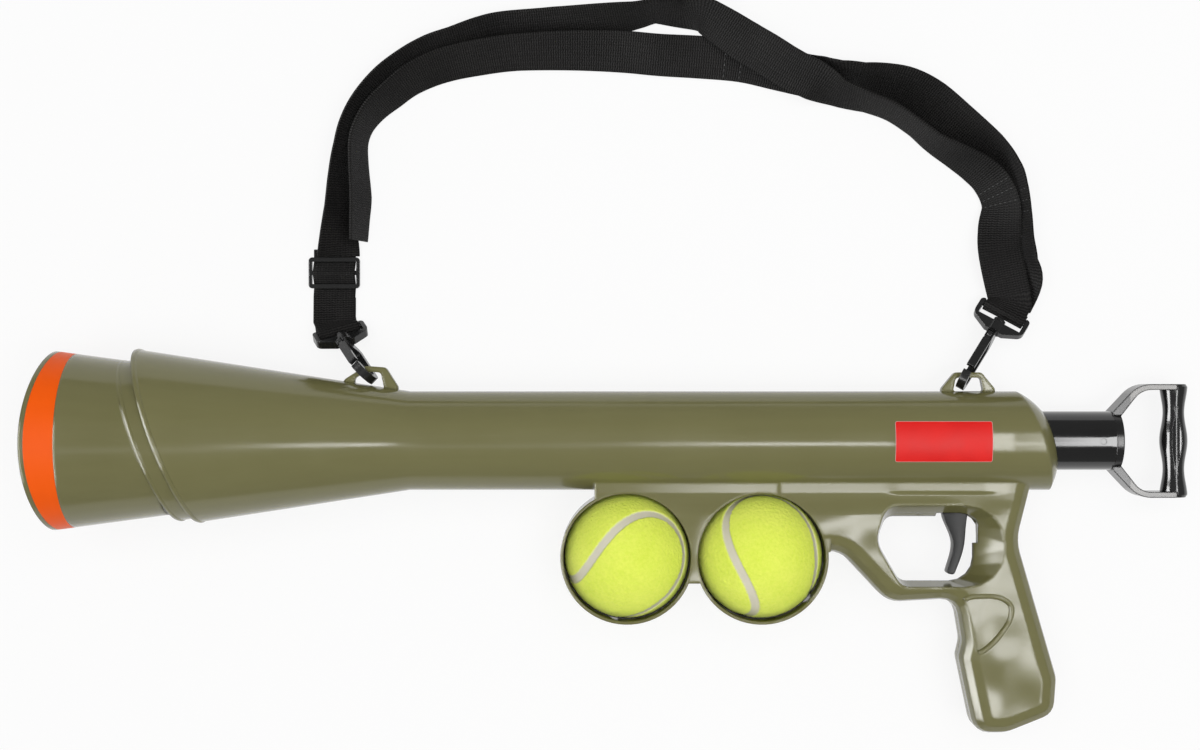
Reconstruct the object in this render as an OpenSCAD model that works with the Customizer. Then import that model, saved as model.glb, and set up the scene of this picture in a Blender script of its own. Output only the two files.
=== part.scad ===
// Dog ball thrower: a spring plunger launcher that lies on its side.
// X runs from the muzzle to the handle, Y from the pistol grip to the shoulder strap, Z is up.

/* [Barrel and cone] */
// Outer radius of the barrel
barrel_r = 26; // [25:0.5:30]
// Wall of the barrel and the cone
wall = 2.4; // [1.8:0.1:3]
// Barrel length, from the throat to the tip of the rear dome
barrel_len = 341; // [330:1:380]
// Cone length, from the throat to the middle of the slanted lip
cone_len = 127; // [110:1:140]
// Outer radius of the cone at the middle of the lip
lip_r = 45.5; // [44:0.5:48]
// Slant of the lip and of the collar ahead of it
lip_slant = 20; // [10:1:24]
// Radius of the rear dome
dome_r = 37.6; // [36:0.2:42]
// How far the dome's centre lies below the barrel's axis
dome_drop = 8; // [0:0.5:10]

/* [Muzzle bell] */
// Outer radius of the mouth
mouth_r = 48; // [46:0.5:52]
// Length of bell that shows ahead of the lip
bell_show = 66; // [55:1:80]
// Outer radius where the bell meets its collar
neck_r = 40.5; // [38:0.5:41]
// Wall of the bell
bell_wall = 2.4; // [1.8:0.1:3]
// Radius of the collar
collar_r = 42.2; // [41.5:0.1:43]
// Length of collar that shows ahead of the lip
collar_show = 10; // [6:0.5:14]
// Depth of the bell's spigot inside the cone
spigot_len = 26; // [22:1:34]
// How far the mouth's sides bow ahead of its top and bottom
rim_bow = 6.5; // [3:0.5:8]
// Rearmost reach of the orange band, from the mouth
band_len = 17; // [14:0.5:24]
// Bare rim ahead of the band
band_rim = 2.4; // [1:0.1:4]
// Thickness of the band
band_t = 0.6; // [0.4:0.1:1]

/* [Plunger] */
// Outer radius of the rod
rod_r = 15.5; // [14:0.1:16]
// Wall of the rod
rod_wall = 2; // [1.5:0.1:3]
// Length of rod that shows behind the dome
rod_show = 28; // [20:1:40]
// Pull from rest to cocked
stroke = 100; // [60:1:110]
// Step from the bore in to the plunger's nose
nose_step = 5; // [4.4:0.1:6.5]
// Thickness of the striker pad
pad_t = 4; // [2:0.5:6]
// Thickness of the head's flange
flange_t = 5; // [4:0.5:8]
// Thickness of the buffer ring
buffer_t = 4; // [3:0.5:6]
// Thickness of the throat rib
throat_rib = 3; // [2:0.5:4]
// Length of the rear bush
bush_len = 12; // [9:0.5:13]
// Thickness of the spring washer
washer_t = 1.5; // [1:0.1:2]

/* [Springs] */
// Wire radius of the main spring
wire_r = 1.2; // [0.8:0.1:1.3]
// Turns of the main spring
spring_turns = 34; // [20:1:38]
// Wire radius of the trigger and sear springs
small_wire_r = 0.3; // [0.2:0.05:0.35]
// Coil radius of the trigger and sear springs
small_coil_r = 2; // [1.6:0.1:2.4]
// Turns of the trigger spring
trigger_turns = 4; // [3:1:5]
// Turns of the sear spring
sear_turns = 2; // [2:1:3]

/* [Handle] */
// Length from the rod's end to the back of the hand bar
handle_len = 41; // [38:0.5:50]
// Height of the D-handle
handle_h = 59.6; // [54:0.2:76]
// Thickness of the arms
arm_t = 3; // [2:0.1:4]
// Depth of the arms
arm_depth = 15; // [8:0.5:18]
// Mean radius of the hand bar
bar_r = 7.2; // [6:0.1:8]
// Height of the finger waves on the hand bar
bar_wave = 0.85; // [0.2:0.05:1.2]
// Radius of the groove along the hand bar
bar_groove_r = 3; // [2:0.1:4]
// Depth of the groove along the hand bar
bar_groove = 1.8; // [0.4:0.1:2.4]
// Length of the yoke's plug inside the rod
plug_len = 14; // [10:0.5:20]
// Radius of the yoke's cross pin
cross_pin_r = 1.5; // [1:0.1:2]

/* [Ball holder] */
// Radius of a tennis ball
ball_r = 33; // [32:0.1:34]
// Thickness of the ball's felt
felt_t = 3; // [2:0.5:4]
// Wall of the ball's rubber core
core_t = 3.5; // [3:0.1:4.5]
// Wall of a ball ring
ring_wall = 1.5; // [1.2:0.1:3]
// Distance between the ball centres
ball_pitch = 70.2; // [69:0.1:76]
// Drop of the ball centres below the barrel's axis
ball_drop = 60.6; // [60:0.2:64]
// Rear ball's centre ahead of the dome's tip
ball_back = 156.7; // [155:0.1:162]
// Height of the lip that the balls sit on
ball_lip = 1.3; // [0.8:0.1:2]

/* [Grip and guard] */
// Depth of the grip's butt below the barrel's axis
grip_drop = 153; // [148:0.5:160]
// Half the thickness of the grip and the guard
grip_half = 15; // [13.5:0.5:17]
// Rounding of the grip's edges
grip_round = 9; // [5:0.5:10]
// Depth of the thumb rest
thumb_depth = 1.2; // [0.6:0.1:2]

/* [Trigger] */
// Thickness of the trigger and the sear
trigger_t = 8; // [6:0.5:10]
// Radius of the trigger and sear pins
pin_r = 1.5; // [1:0.1:2]

/* [Screws] */
// Radius of a screw's shank
screw_r = 1.4; // [1:0.1:1.6]
// Radius of a screw's head
screw_head_r = 2.7; // [2.2:0.1:3]
// Height of a screw's head
screw_head_h = 2; // [1.5:0.1:3]
// Length of a screw's shank
screw_len = 18; // [14:0.5:20]
// Depth of a screw's counterbore
screw_sink = 5; // [3:0.5:7]

/* [Strap] */
// Width of the webbing
web_w = 23; // [20:0.5:26]
// Thickness of the webbing
web_t = 1.3; // [1:0.1:1.4]
// Half the thickness of a strap lug
lug_half = 2.6; // [2.2:0.1:2.7]
// Thickness of a snap hook
hook_t = 4.4; // [3.5:0.1:4.6]
// Length of a snap hook, from its bow to its shoulder
hook_len = 24; // [22:0.5:27]
// Inner radius of the hook's bow
bow_r = 5.5; // [5.4:0.1:5.7]
// Thickness of the hook's bow and spine
bow_t = 3.2; // [3:0.1:3.3]
// Length of the swivel eye
eye_len = 15.5; // [15.5:0.1:18]
// Radius of the eye's strap bar
eye_bar_r = 2; // [1.6:0.1:2.2]
// Radius of the swivel post
post_r = 2.3; // [1.8:0.1:2.4]

/* [Clearances] */
// Running fit of the rod and the pins, on the radius
run_fit = 0.05; // [0.02:0.01:0.1]
// Seat of a fixed piece in the shells
seat_fit = 0.05; // [0.02:0.01:0.1]
// Space between pieces that move past each other
move_gap = 0.35; // [0.3:0.05:0.5]

/* [Hidden] */
$fn = 64;
far = 400;

// Stations along the barrel's axis.
overall_len = bell_show + cone_len + barrel_len + rod_show + handle_len;
mouth_x = -overall_len / 2;
lip_x = mouth_x + bell_show;
throat_x = lip_x + cone_len;
rear_x = throat_x + barrel_len;
yoke_x = rear_x + rod_show;
axis_y = (grip_drop - mouth_r) / 2;
axis_z = mouth_r;
axis = [0, axis_y, axis_z];

// Radii that fit into one another.
bore_r = barrel_r - wall;
head_r = bore_r - move_gap;
cone_slope = (lip_r - barrel_r) / cone_len;
bell_slope = (mouth_r - neck_r) / (bell_show - collar_show);
nose_r = bore_r - nose_step;
throat_r = nose_r + 1;
rod_hole_r = rod_r + 0.5;
ring_in_r = ball_r + 0.3;
ring_r = ring_in_r + ring_wall;
ring_half = grip_half - 0.4;
skirt_r = rod_r + 2.2;
coil_r = (skirt_r + head_r) / 2;

// Stations of the mechanism, from the dome's tip.
bush_back = -30;
bush_front = bush_back - bush_len;
seat_back = -66;
seat_front = seat_back - 4;
buffer_x = throat_x + throat_rib;
flange_x = buffer_x + buffer_t;
skirt_x = flange_x + flange_t;
spring_x0 = skirt_x;
spring_x1 = rear_x + seat_front - washer_t;
trigger_at = [-52, -31];
sear_at = [-78, -31];
sear_nose = [-63, -rod_r - move_gap];
pocket_half = trigger_t / 2 + move_gap;
pocket_top = sear_at[1] + 4.6;
pocket_floor = -37.2;
pocket_back = -38;
pin_half = pocket_half + 4;
sear_spring_x = sear_at[0] + 5;

// Outlines in the shells' mid plane, from the dome's tip and the axis: x, y and corner radius.
// The grip's fourth number is the point of its spine that the flat face's triangles run to.
grip_outline = [[-156, 5, 10, 0], [-156, -57.5, 8, 0], [-115, -57.8, 14, 0], [-90, -84.5, 14, 1],
    [-54.5, -82.5, 9, 2], [-50.8, -105, 12, 3], [-52.8, -113.5, 7, 3], [-44.5, -grip_drop, 9, 3],
    [-28, -grip_drop, 20, 3], [-3, 10 - grip_drop, 10, 3], [-1.6, 29 - grip_drop, 14, 3],
    [-22.4, -52, 26, 2], [-8, 5, 10, 1]];
grip_spine = [[-140, -26], [-75, -55], [-42, -62], [-28, -120]];
window_inner = [[-90, -40.4, 5], [-95, -53, 12], [-83, -73.7, 6], [-45.5, -73.7, 12],
    [-45.5, -40.4, 8]];
window_outer = [[-92, -33, 9], [-98, -52, 14], [-84, -76, 8], [-30, -76, 20], [-30, -33, 20]];
thumb_outline = [[-51.7, -80.8, 2], [-46, -99, 8], [-44.4, -112, 2], [-35.1, -104.2, 10], [-27.8, -94.3, 10],
    [-25.7, -85, 4], [-34, -80.3, 8]];
grip_pocket = [[-43, -88, 2], [-46, -112, 2], [-39, -143, 3], [-28, -145, 3], [-13, -137, 3],
    [-13, -124, 3], [-29, -84, 2], [-40, -82, 2]];
trigger_outline = [[-60.4, -38, 0.8], [-58, -53, 30], [-58.6, -69.8, 1.4], [-54.6, -70.6, 1.6],
    [-50.5, -54, 20], [-47.5, -38, 4], [-47.5, -27.4, 4], [-56.5, -27.4, 4], [-56.5, -29, 1],
    [-60, -29.4, 0.6], [-60, -33.2, 0.6], [-55.4, -33.2, 0.6], [-55.4, -37.6, 0.6]];
sear_outline = [[-81.6, -27.6, 3], [-81.6, -35, 3], [-65, -35, 3], [-63, -36, 2], [-56, -36, 0.6],
    [-56, -33.6, 0.6], [-61, -33.6, 1], [-60.5, sear_nose[1] - 3, 1], [-63, sear_nose[1], 0.6],
    [-66, sear_nose[1] - 1, 1], [-67, -27.6, 2]];
screw_points = [[-ball_back - ball_pitch / 2, -33], [-110, -42], [-33.5, -96], [-24, -132]];
front_lug_x = throat_x - 20.5;
rear_lug_x = rear_x - 47;
front_lug = [[-15, 22, 1], [14.5, 18, 1], [14, 28.5, 3], [7.6, 38.6, 3], [-3, 39.4, 3],
    [-14.6, 32, 3]];
front_lug_hole = [[-9, 27.5, 1.5], [7, 26.5, 1.5], [5, 35.9, 2], [-2.6, 36.4, 2],
    [-8.6, 33, 2]];
rear_lug = [[-14.5, 20, 1], [14.5, 20, 1], [14, 27.5, 3], [7, 36, 3], [-7, 36, 3],
    [-14, 27.5, 3]];
rear_lug_hole = [[-8, 26, 1], [8, 26, 1], [6.6, 33.2, 2], [-6.6, 33.2, 2]];

// Hooks: bow centre, then the roll, dip and heading of the shank, and the eye's own roll.
front_hook_at = [front_lug_x - 4.5, axis_y + 37.4, axis_z];
front_turn = [84, 50, 130];
front_eye_roll = 30;
rear_hook_at = [rear_lug_x, axis_y + 35.1, axis_z];
rear_turn = [74, 21, 55];
rear_eye_roll = -15;
shoulder_x = hook_len;
eye_x = shoulder_x + 5 + move_gap;
strap_bar_x = eye_x + eye_len - eye_bar_r;
eye_neck = 6;
gate_t = 2.4;
gate_pin_r = 0.8;
gate_pivot = [shoulder_x - 0.6, bow_r + 2];
slider_w = web_w + 5;
slider_l = 17;
slider_t = 2.4;
slider_bar = 2.4;
slider_lift = web_t + 0.6;

// The surface that the thrower lies on touches the mouth, the rear ball and the barrel's end.
rest_x = rear_x - dome_r + sqrt(dome_r ^ 2 - dome_drop ^ 2 - barrel_r ^ 2);
rest_slope_x = (axis_z - barrel_r) / (rest_x - mouth_x);
rest_slope_y = (rest_slope_x * (rear_x - ball_back - mouth_x) - axis_z + ball_r) / ball_drop;
function rest_z(x, y) = rest_slope_x * (x - mouth_x) + rest_slope_y * (y - axis_y);

// Strap route: x, y, height of the centre over the rest surface, roll of the webbing.
slider_at = [-154, 143];
outer_route = [[-139.5, 160, 12, 74], [-139, 172, 11.9, 71], [-138.5, 184, 11.7, 68],
    [-139.5, 201, 11.9, 71], [-139.5, 213.5, 11.9, 72], [-136.5, 222.5, 11.9, 71],
    [-130.5, 231, 11.4, 65], [-121.5, 239, 10.8, 59], [-110.5, 247.5, 10.3, 54],
    [-94, 255, 9.4, 47], [-73.5, 259.5, 8.9, 43], [-53.5, 262, 8.6, 41], [-25, 263, 7.1, 32],
    [2, 262.5, 5.5, 23], [24, 260.5, 5.2, 22], [45.5, 259.5, 3.2, 15], [68.5, 257.5, 2.2, 12],
    [89, 252.5, 3.6, 12], [106.5, 248.5, 4.4, 16], [115, 248.5, 8.6, 41], [122.5, 249, 11.4, 65],
    [131.5, 248, 11.4, 65], [143, 246, 10.1, 52], [156.5, 242.5, 8.6, 41], [170.5, 234.5, 6.1, 26],
    [186.5, 220.5, 6.1, 26], [200, 208, 7.9, 37], [210.5, 197, 10.8, 59], [216.5, 187.5, 11.7, 68],
    [221, 174, 12, 74], [222.5, 160, 8, 40], [222, 150, 4.6, 14], [219, 141.5, 7.4, 2]];
inner_route = [[-151.5, 152, 4, 8], [-151, 161, 7.6, 32], [-149.5, 179, 9.6, 49],
    [-148.5, 197, 10.8, 59], [-146.5, 211.5, 11.4, 65], [-143, 224, 11.4, 65],
    [-136, 236, 11.1, 62], [-125, 248, 10.8, 59], [-111.5, 257.5, 10.5, 56],
    [-99.5, 263.5, 10.3, 54], [-88, 267, 10.1, 52], [-73.5, 271.5, 9.1, 45], [-60.5, 274, 8.6, 41],
    [-33, 276, 7.9, 37], [-5, 279, 9.9, 51], [10.5, 282.5, 11.1, 62], [21.5, 285, 11.7, 68],
    [35, 283.5, 10.8, 59], [45.5, 280.5, 15.4, 49], [56.5, 274, 16, 37], [70, 265.5, 15, 26],
    [81, 259, 15, 26], [93, 251.5, 14.6, 26], [107, 244.5, 14, 32], [119, 239, 10.8, 59],
    [134.5, 233.5, 11.9, 72], [148, 228, 12.1, 75], [160.5, 219.5, 12.2, 76],
    [170.5, 211.5, 11.9, 72], [182.5, 204.5, 11.3, 63], [193, 198, 10.3, 54],
    [201.5, 190.5, 9.1, 45], [208, 179, 9.1, 40], [209, 165, 10, 18], [210, 149, 12.6, 4]];

function unit(v) = v / norm(v);
function left_of(v) = [-v[1], v[0]];

// One corner of an outline, moved inwards by d and rounded with n chords.
function corner_arc(a, p, b, r, d, n) =
    let (e1 = unit(p - a), e2 = unit(b - p), n1 = left_of(e1), n2 = left_of(e2))
    let (q = p + (n1 + n2) * d / (1 + n1 * n2))
    let (turn = atan2(e1[0] * e2[1] - e1[1] * e2[0], e1 * e2), s = sign(turn))
    let (rr = max(r - s * d, d > 0 ? 1.5 : 0.2), c = q - e1 * rr * tan(abs(turn) / 2) + n1 * rr * s)
    [for (i = [0 : n]) let (t = turn * i / n, v = -n1 * rr * s)
        c + [v[0] * cos(t) - v[1] * sin(t), v[0] * sin(t) + v[1] * cos(t)]];

function xy(p) = [p[0], p[1]];

// A closed outline with round corners, counter-clockwise, moved inwards by d.
function rounded(o, d = 0, n = 6) = let (m = len(o))
    [for (i = [0 : m - 1])
        each corner_arc(xy(o[(i + m - 1) % m]), xy(o[i]), xy(o[(i + 1) % m]), o[i][2], d, n)];

// Triangles of a closed tube of rings, each of m points, with flat ends. Side "back" is split along its other
// diagonal, so that the two faces of a twisted band stay side by side.
function tube_faces(rings, m, back = -1) = concat(
    [[for (i = [0 : m - 1]) i]],
    [for (k = [0 : rings - 2], i = [0 : m - 1]) let (j = (i + 1) % m, a = k * m, b = (k + 1) * m)
        each i == back ? [[a + i, b + i, a + j], [a + j, b + i, b + j]]
            : [[a + i, b + j, a + j], [a + i, b + i, b + j]]],
    [[for (i = [m - 1 : -1 : 0]) (rings - 1) * m + i]]);

module tube_of(rings, back = -1) {
    polyhedron([for (r = rings) each r], tube_faces(len(rings), len(rings[0]), back), convexity = 10);
}

function at_height(outline, z) = [for (p = outline) [p[0], p[1], z]];

// An outline with thickness, its edges rounded over on both faces.
module pillow(outline, spine, half, edge, n = 3) {
    up = [for (k = [0 : n]) [edge * (1 - cos(90 * k / n)), half - edge + edge * sin(90 * k / n)]];
    steps = concat([for (k = [n : -1 : 0]) [up[k][0], -up[k][1]]], up);
    rings = [for (s = steps) at_height(rounded(outline, s[0], 4), s[1])];
    m = len(rings[0]);
    last = (len(rings) - 1) * m;
    low = last + m;
    high = low + len(spine);
    seat = [for (p = outline) each [for (i = [0 : 4]) p[3]]];
    sides = [for (k = [0 : len(rings) - 2], i = [0 : m - 1]) let (j = (i + 1) % m)
        each [[k * m + i, (k + 1) * m + j, k * m + j], [k * m + i, (k + 1) * m + i, (k + 1) * m + j]]];
    fans = [for (i = [0 : m - 1]) let (j = (i + 1) % m)
        each [[low + seat[i], i, j], [last + i, high + seat[j], last + j]]];
    links = [for (i = [0 : m - 1]) let (j = (i + 1) % m) if (seat[i] != seat[j])
        each [[low + seat[i], j, low + seat[j]], [last + i, high + seat[i], high + seat[j]]]];
    polyhedron(
        points = concat([for (g = rings) each g], at_height(spine, -half), at_height(spine, half)),
        faces = concat(sides, fans, links));
}

// Rings of a helical wire along X, six-sided, eight rings a turn.
function helix(x0, x1, r, wire, turns) = [for (i = [0 : turns * 8])
    let (t = 45 * i, x = x0 + wire + (x1 - x0 - 2 * wire) * i / (turns * 8))
    [for (j = [0 : 5]) let (a = -60 * j, q = r + wire * cos(a))
        [x + wire * sin(a), q * cos(t), q * sin(t)]]];

// Least gap between a wire's neighbouring turns, measured on its ring centres.
function ring_mid(g) = [for (k = [0 : 2]) (g[0][k] + g[1][k] + g[2][k] + g[3][k] + g[4][k] + g[5][k]) / 6];
function helix_gap(rings, wire) = let (c = [for (g = rings) ring_mid(g)])
    min([for (i = [0 : len(c) - 12], j = [i + 5 : i + 11]) norm(c[j] - c[i])]) - 2 * wire;

// A point of a turned hook in the part's frame.
function spin_x(p, a) = [p[0], p[1] * cos(a) - p[2] * sin(a), p[1] * sin(a) + p[2] * cos(a)];
function spin_y(p, a) = [p[0] * cos(a) + p[2] * sin(a), p[1], -p[0] * sin(a) + p[2] * cos(a)];
function spin_z(p, a) = [p[0] * cos(a) - p[1] * sin(a), p[0] * sin(a) + p[1] * cos(a), p[2]];
function turned(p, t) = spin_z(spin_y(spin_x(p, t[0]), t[1]), t[2]);

// A strap station is its centre and the direction across the webbing.
function route_point(s) = [s[0], s[1], rest_z(s[0], s[1]) + s[2]];
function route_stations(route) = [for (i = [0 : len(route) - 1])
    let (a = route[max(i - 1, 0)], b = route[min(i + 1, len(route) - 1)], s = route[i])
    let (n = left_of(unit([b[0] - a[0], b[1] - a[1]])))
    [route_point(s), [n[0] * cos(s[3]), n[1] * cos(s[3]), sin(s[3])]]];

function between(a, b, c, d, t) = 0.5 * (2 * b + (c - a) * t + (2 * a - 5 * b + 4 * c - d) * t ^ 2
    + (3 * b - a - 3 * c + d) * t ^ 3);
function smooth(s, n) = let (m = len(s) - 1) concat(
    [for (i = [0 : m - 1], k = [0 : n - 1]) let (t = k / n)
        [between(s[max(i - 1, 0)][0], s[i][0], s[i + 1][0], s[min(i + 2, m)][0], t),
            unit(s[i][1] * (1 - t) + s[i + 1][1] * t)]],
    [s[m]]);

// A band of webbing along stations.
module webbing(stations) {
    m = len(stations) - 1;
    tube_of([for (i = [0 : m])
        let (p = stations[i][0], along = unit(stations[min(i + 1, m)][0] - stations[max(i - 1, 0)][0]))
        let (w = unit(stations[i][1] - along * (stations[i][1] * along)) * web_w / 2)
        let (up = cross(along, unit(w)) * web_t / 2)
        [p + w + up, p - w + up, p - w - up, p + w - up]], 2);
}

// Places children on the barrel's axis, or at the dome's tip on that axis.
module on_axis() {
    translate(axis) children();
}
module at_rear() {
    translate(axis + [rear_x, 0, 0]) children();
}
module along_x(x, h, r1, r2 = -1) {
    translate([x, 0, 0]) rotate([0, 90, 0]) cylinder(h = h, r1 = r1, r2 = r2 < 0 ? r1 : r2);
}
module across_z(p, r, low, high) {
    translate([p[0], p[1], low]) cylinder(h = high - low, r = r);
}
module slab(outline, low, high) {
    translate([0, 0, low]) linear_extrude(height = high - low) polygon(rounded(outline));
}
module behind_slant(x) {
    translate([x, 0, 0]) rotate([0, 0, lip_slant]) translate([0, -far, -far]) cube([2 * far, 2 * far, 2 * far]);
}

function cone_r(x) = barrel_r + cone_slope * (throat_x - x);
function bell_r(x) = mouth_r - bell_slope * (x - mouth_x);

// A frustum of the cone's or the bell's surface, grown by g.
module cone_part(x0, x1, g) {
    along_x(x0, x1 - x0, cone_r(x0) + g, cone_r(x1) + g);
}
module bell_part(x0, x1, g) {
    along_x(x0, x1 - x0, bell_r(x0) + g, bell_r(x1) + g);
}

// The space behind the bowed mouth, set back by s.
module behind_rim(s) {
    r = mouth_r ^ 2 / (2 * rim_bow);
    translate([mouth_x + r + s, 0, -far]) cylinder(h = 2 * far, r = r, $fn = 180);
}

// A solid of revolution about the axis, from radius and x.
module revolved(profile) {
    rotate([0, 90, 0]) rotate_extrude() polygon(profile);
}

// Half shells, each drawn as a front cone and a rear body that meet flush at the throat.
module cone_outside() {
    front_x = lip_x - lip_r;
    intersection() {
        revolved([[0, front_x], [cone_r(front_x), front_x], [barrel_r, throat_x], [0, throat_x]]);
        behind_slant(lip_x);
    }
}

module barrel_outside() {
    cap_x = rear_x - dome_r + 4;
    along_x(throat_x, cap_x - throat_x, barrel_r);
    intersection() {
        along_x(cap_x, dome_r, barrel_r);
        translate([rear_x - dome_r, -dome_drop, 0]) rotate([0, 90, 0]) sphere(r = dome_r);
    }
}

module ball_holder_outside() {
    front_x = -ball_back - ball_pitch;
    for (x = [front_x, -ball_back]) {
        difference() {
            across_z([x, -ball_drop], ring_r, -ring_half, ring_half);
            translate([x - far, -ball_drop + ball_r - 2, -far]) cube(2 * far);
        }
    }
    slab([[front_x - 17, -20, 1], [front_x - 17, -40, 1], [front_x, -ball_drop, 1],
        [front_x + 14, -74, 1], [-ball_back - 14, -74, 1], [-ball_back, -ball_drop, 1],
        [-ball_back + 36, -ball_drop + 3, 1], [-ball_back + 36, -20, 1]], -ring_half, ring_half);
}

module ball_holder_bores() {
    for (x = [-ball_back - ball_pitch, -ball_back]) {
        p = [x, -ball_drop];
        seat = sqrt(ball_r ^ 2 - (ring_in_r - ball_lip) ^ 2) + 0.3;
        across_z(p, ring_in_r, -seat, far);
        across_z(p, ring_in_r - ball_lip, -far, 0);
    }
}

module lug(x, outline, hole) {
    translate([x, 0, 0]) difference() {
        slab(outline, -lug_half, lug_half);
        slab(hole, -far, far);
    }
}

module shells_outside() {
    on_axis() barrel_outside();
    at_rear() pillow(grip_outline, grip_spine, grip_half, grip_round);
    at_rear() ball_holder_outside();
    on_axis() lug(rear_lug_x, rear_lug, rear_lug_hole);
}

module trigger_window(side) {
    reach = grip_half + 6;
    grow = (reach + 1) / (grip_half + 1.5);
    a = rounded(window_inner, 0, 4);
    b = rounded(window_outer, 0, 4);
    wide = [for (i = [0 : len(a) - 1]) a[i] + (b[i] - a[i]) * grow];
    mirror([0, 0, side > 0 ? 0 : 1]) tube_of([at_height(a, -1), at_height(wide, reach)]);
}

module pockets() {
    translate([-88, pocket_floor, -pocket_half]) cube([88 + pocket_back, pocket_top - pocket_floor, 2 * pocket_half]);
    slab(grip_pocket, wall - grip_half, grip_half - wall);
}

module bosses() {
    for (p = screw_points) {
        across_z(p, screw_head_r + 1.6, 1 - grip_half, grip_half - 1);
    }
}

module cone_bore() {
    front_x = lip_x - 2 * lip_r;
    on_axis() revolved([[0, front_x], [cone_r(front_x) - wall, front_x], [bore_r, throat_x], [bore_r, throat_x + 1],
        [0, throat_x + 1]]);
}

module bores() {
    seat_a = rear_x + seat_front;
    seat_b = rear_x + seat_back;
    groove = rear_x + bush_front + 4;
    on_axis() revolved([[0, throat_x - 1], [throat_r, throat_x - 1], [throat_r, buffer_x], [bore_r, buffer_x],
        [bore_r, seat_a], [rod_hole_r, seat_a], [rod_hole_r, seat_b], [bore_r, seat_b], [bore_r, groove],
        [bore_r + 1, groove], [bore_r + 1, groove + 3], [bore_r, groove + 3], [bore_r, rear_x + bush_back],
        [rod_hole_r, rear_x + bush_back], [rod_hole_r, rear_x + far], [0, rear_x + far]]);
}

module shell_cuts(side) {
    bores();
    at_rear() {
        ball_holder_bores();
        trigger_window(side);
        translate([-69, pocket_top - 2, -pocket_half]) cube([11, 12, 2 * pocket_half]);
        translate([-64, -54, -pocket_half]) cube([22, 18, 2 * pocket_half]);
        translate([sear_spring_x, pocket_floor + 1, 0]) rotate([90, 0, 0]) cylinder(h = 2.1, r = small_coil_r + 0.8);
        for (s = [-1, 1]) {
            slab(thumb_outline, s > 0 ? grip_half - thumb_depth : -far, s > 0 ? far : thumb_depth - grip_half);
        }
        for (p = [trigger_at, sear_at]) {
            across_z(p, pin_r + seat_fit, -pin_half - 0.2, pin_half + 0.2);
        }
        for (p = screw_points) {
            across_z(p, screw_r + seat_fit, -grip_half, screw_len + screw_sink - grip_half + 1);
            across_z(p, screw_head_r + 0.2, -far, screw_sink - grip_half);
        }
    }
}

module shells(side) {
    difference() {
        union() {
            difference() {
                shells_outside();
                at_rear() pockets();
            }
            at_rear() bosses();
        }
        shell_cuts(side);
    }
}

module cones() {
    difference() {
        on_axis() {
            cone_outside();
            lug(front_lug_x, front_lug, front_lug_hole);
        }
        cone_bore();
    }
}

module half_space(side) {
    translate([-far, -far, side > 0 ? axis_z : axis_z - far]) cube([2 * far, 2 * far, far]);
}

module left_cone() {
    color("#7d7a53") intersection() {
        cones();
        half_space(1);
    }
}
module right_cone() {
    color("#7d7a53") intersection() {
        cones();
        half_space(-1);
    }
}
module left_shell() {
    color("#7d7a53") intersection() {
        shells(1);
        half_space(1);
    }
}
module right_shell() {
    color("#7d7a53") intersection() {
        shells(-1);
        half_space(-1);
    }
}

// Muzzle.
module muzzle_bell() {
    collar_x = lip_x - collar_show;
    tail_x = lip_x + spigot_len;
    color("#6b6744") on_axis() difference() {
        intersection() {
            union() {
                bell_part(mouth_x - 1, lip_x, 0);
                intersection() {
                    cone_part(collar_x - lip_r, tail_x, -wall - seat_fit);
                    along_x(collar_x - lip_r, far, collar_r);
                    behind_slant(collar_x);
                }
            }
            behind_rim(0);
        }
        bell_part(mouth_x - 2, collar_x, -bell_wall);
        along_x(collar_x - 0.1, tail_x - collar_x + 1, neck_r - bell_wall, cone_r(tail_x) - wall - bell_wall);
        band_groove(0);
    }
}

module band_groove(fit) {
    intersection() {
        difference() {
            bell_part(mouth_x, mouth_x + band_len - fit, 1 - fit);
            bell_part(mouth_x - 1, mouth_x + band_len + 1, fit - band_t);
        }
        behind_rim(band_rim + fit);
    }
}

module muzzle_band() {
    color("#ff640a") on_axis() intersection() {
        band_groove(seat_fit);
        bell_part(mouth_x - 1, mouth_x + band_len + 1, 0);
    }
}

// Plunger.
module front_buffer() {
    color("#2a2a2a") on_axis() difference() {
        along_x(buffer_x, buffer_t, bore_r - seat_fit);
        along_x(buffer_x - 1, buffer_t + 2, throat_r);
    }
}
module rear_bush() {
    color("#303030") at_rear() difference() {
        union() {
            along_x(bush_front, bush_len, bore_r - seat_fit);
            along_x(bush_front + 4 + seat_fit, 3 - 2 * seat_fit, bore_r + 1 - seat_fit);
        }
        along_x(bush_front - 1, bush_len + 2, rod_r + run_fit);
    }
}
module spring_washer() {
    color("silver") at_rear() difference() {
        along_x(seat_front - washer_t, washer_t, bore_r - seat_fit);
        along_x(seat_front - washer_t - 1, washer_t + 2, rod_hole_r);
    }
}
module plunger_rod() {
    notch_x = rear_x + sear_nose[0] - stroke;
    color("#151515") on_axis() difference() {
        along_x(skirt_x, yoke_x - skirt_x, rod_r);
        along_x(skirt_x - 1, yoke_x - skirt_x + 2, rod_r - rod_wall);
        translate([notch_x - 4, -rod_r - 1, -trigger_t / 2 - 1]) cube([8, 6, trigger_t + 2]);
        translate([yoke_x - plug_len / 2, 0, -far]) cylinder(h = 2 * far, r = cross_pin_r + seat_fit);
    }
}
module plunger_head() {
    color("#3a3a3a") on_axis() difference() {
        union() {
            along_x(throat_x - 6, flange_x - throat_x + 7, nose_r);
            along_x(flange_x, flange_t, head_r);
            along_x(skirt_x, 12, skirt_r);
        }
        along_x(skirt_x, 13, rod_r + seat_fit);
        along_x(throat_x - 2, skirt_x - throat_x + 3, rod_r - rod_wall);
    }
}
module striker_pad() {
    color("#b4362a") on_axis() along_x(throat_x - 6 - pad_t, pad_t, nose_r - 0.6);
}
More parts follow.
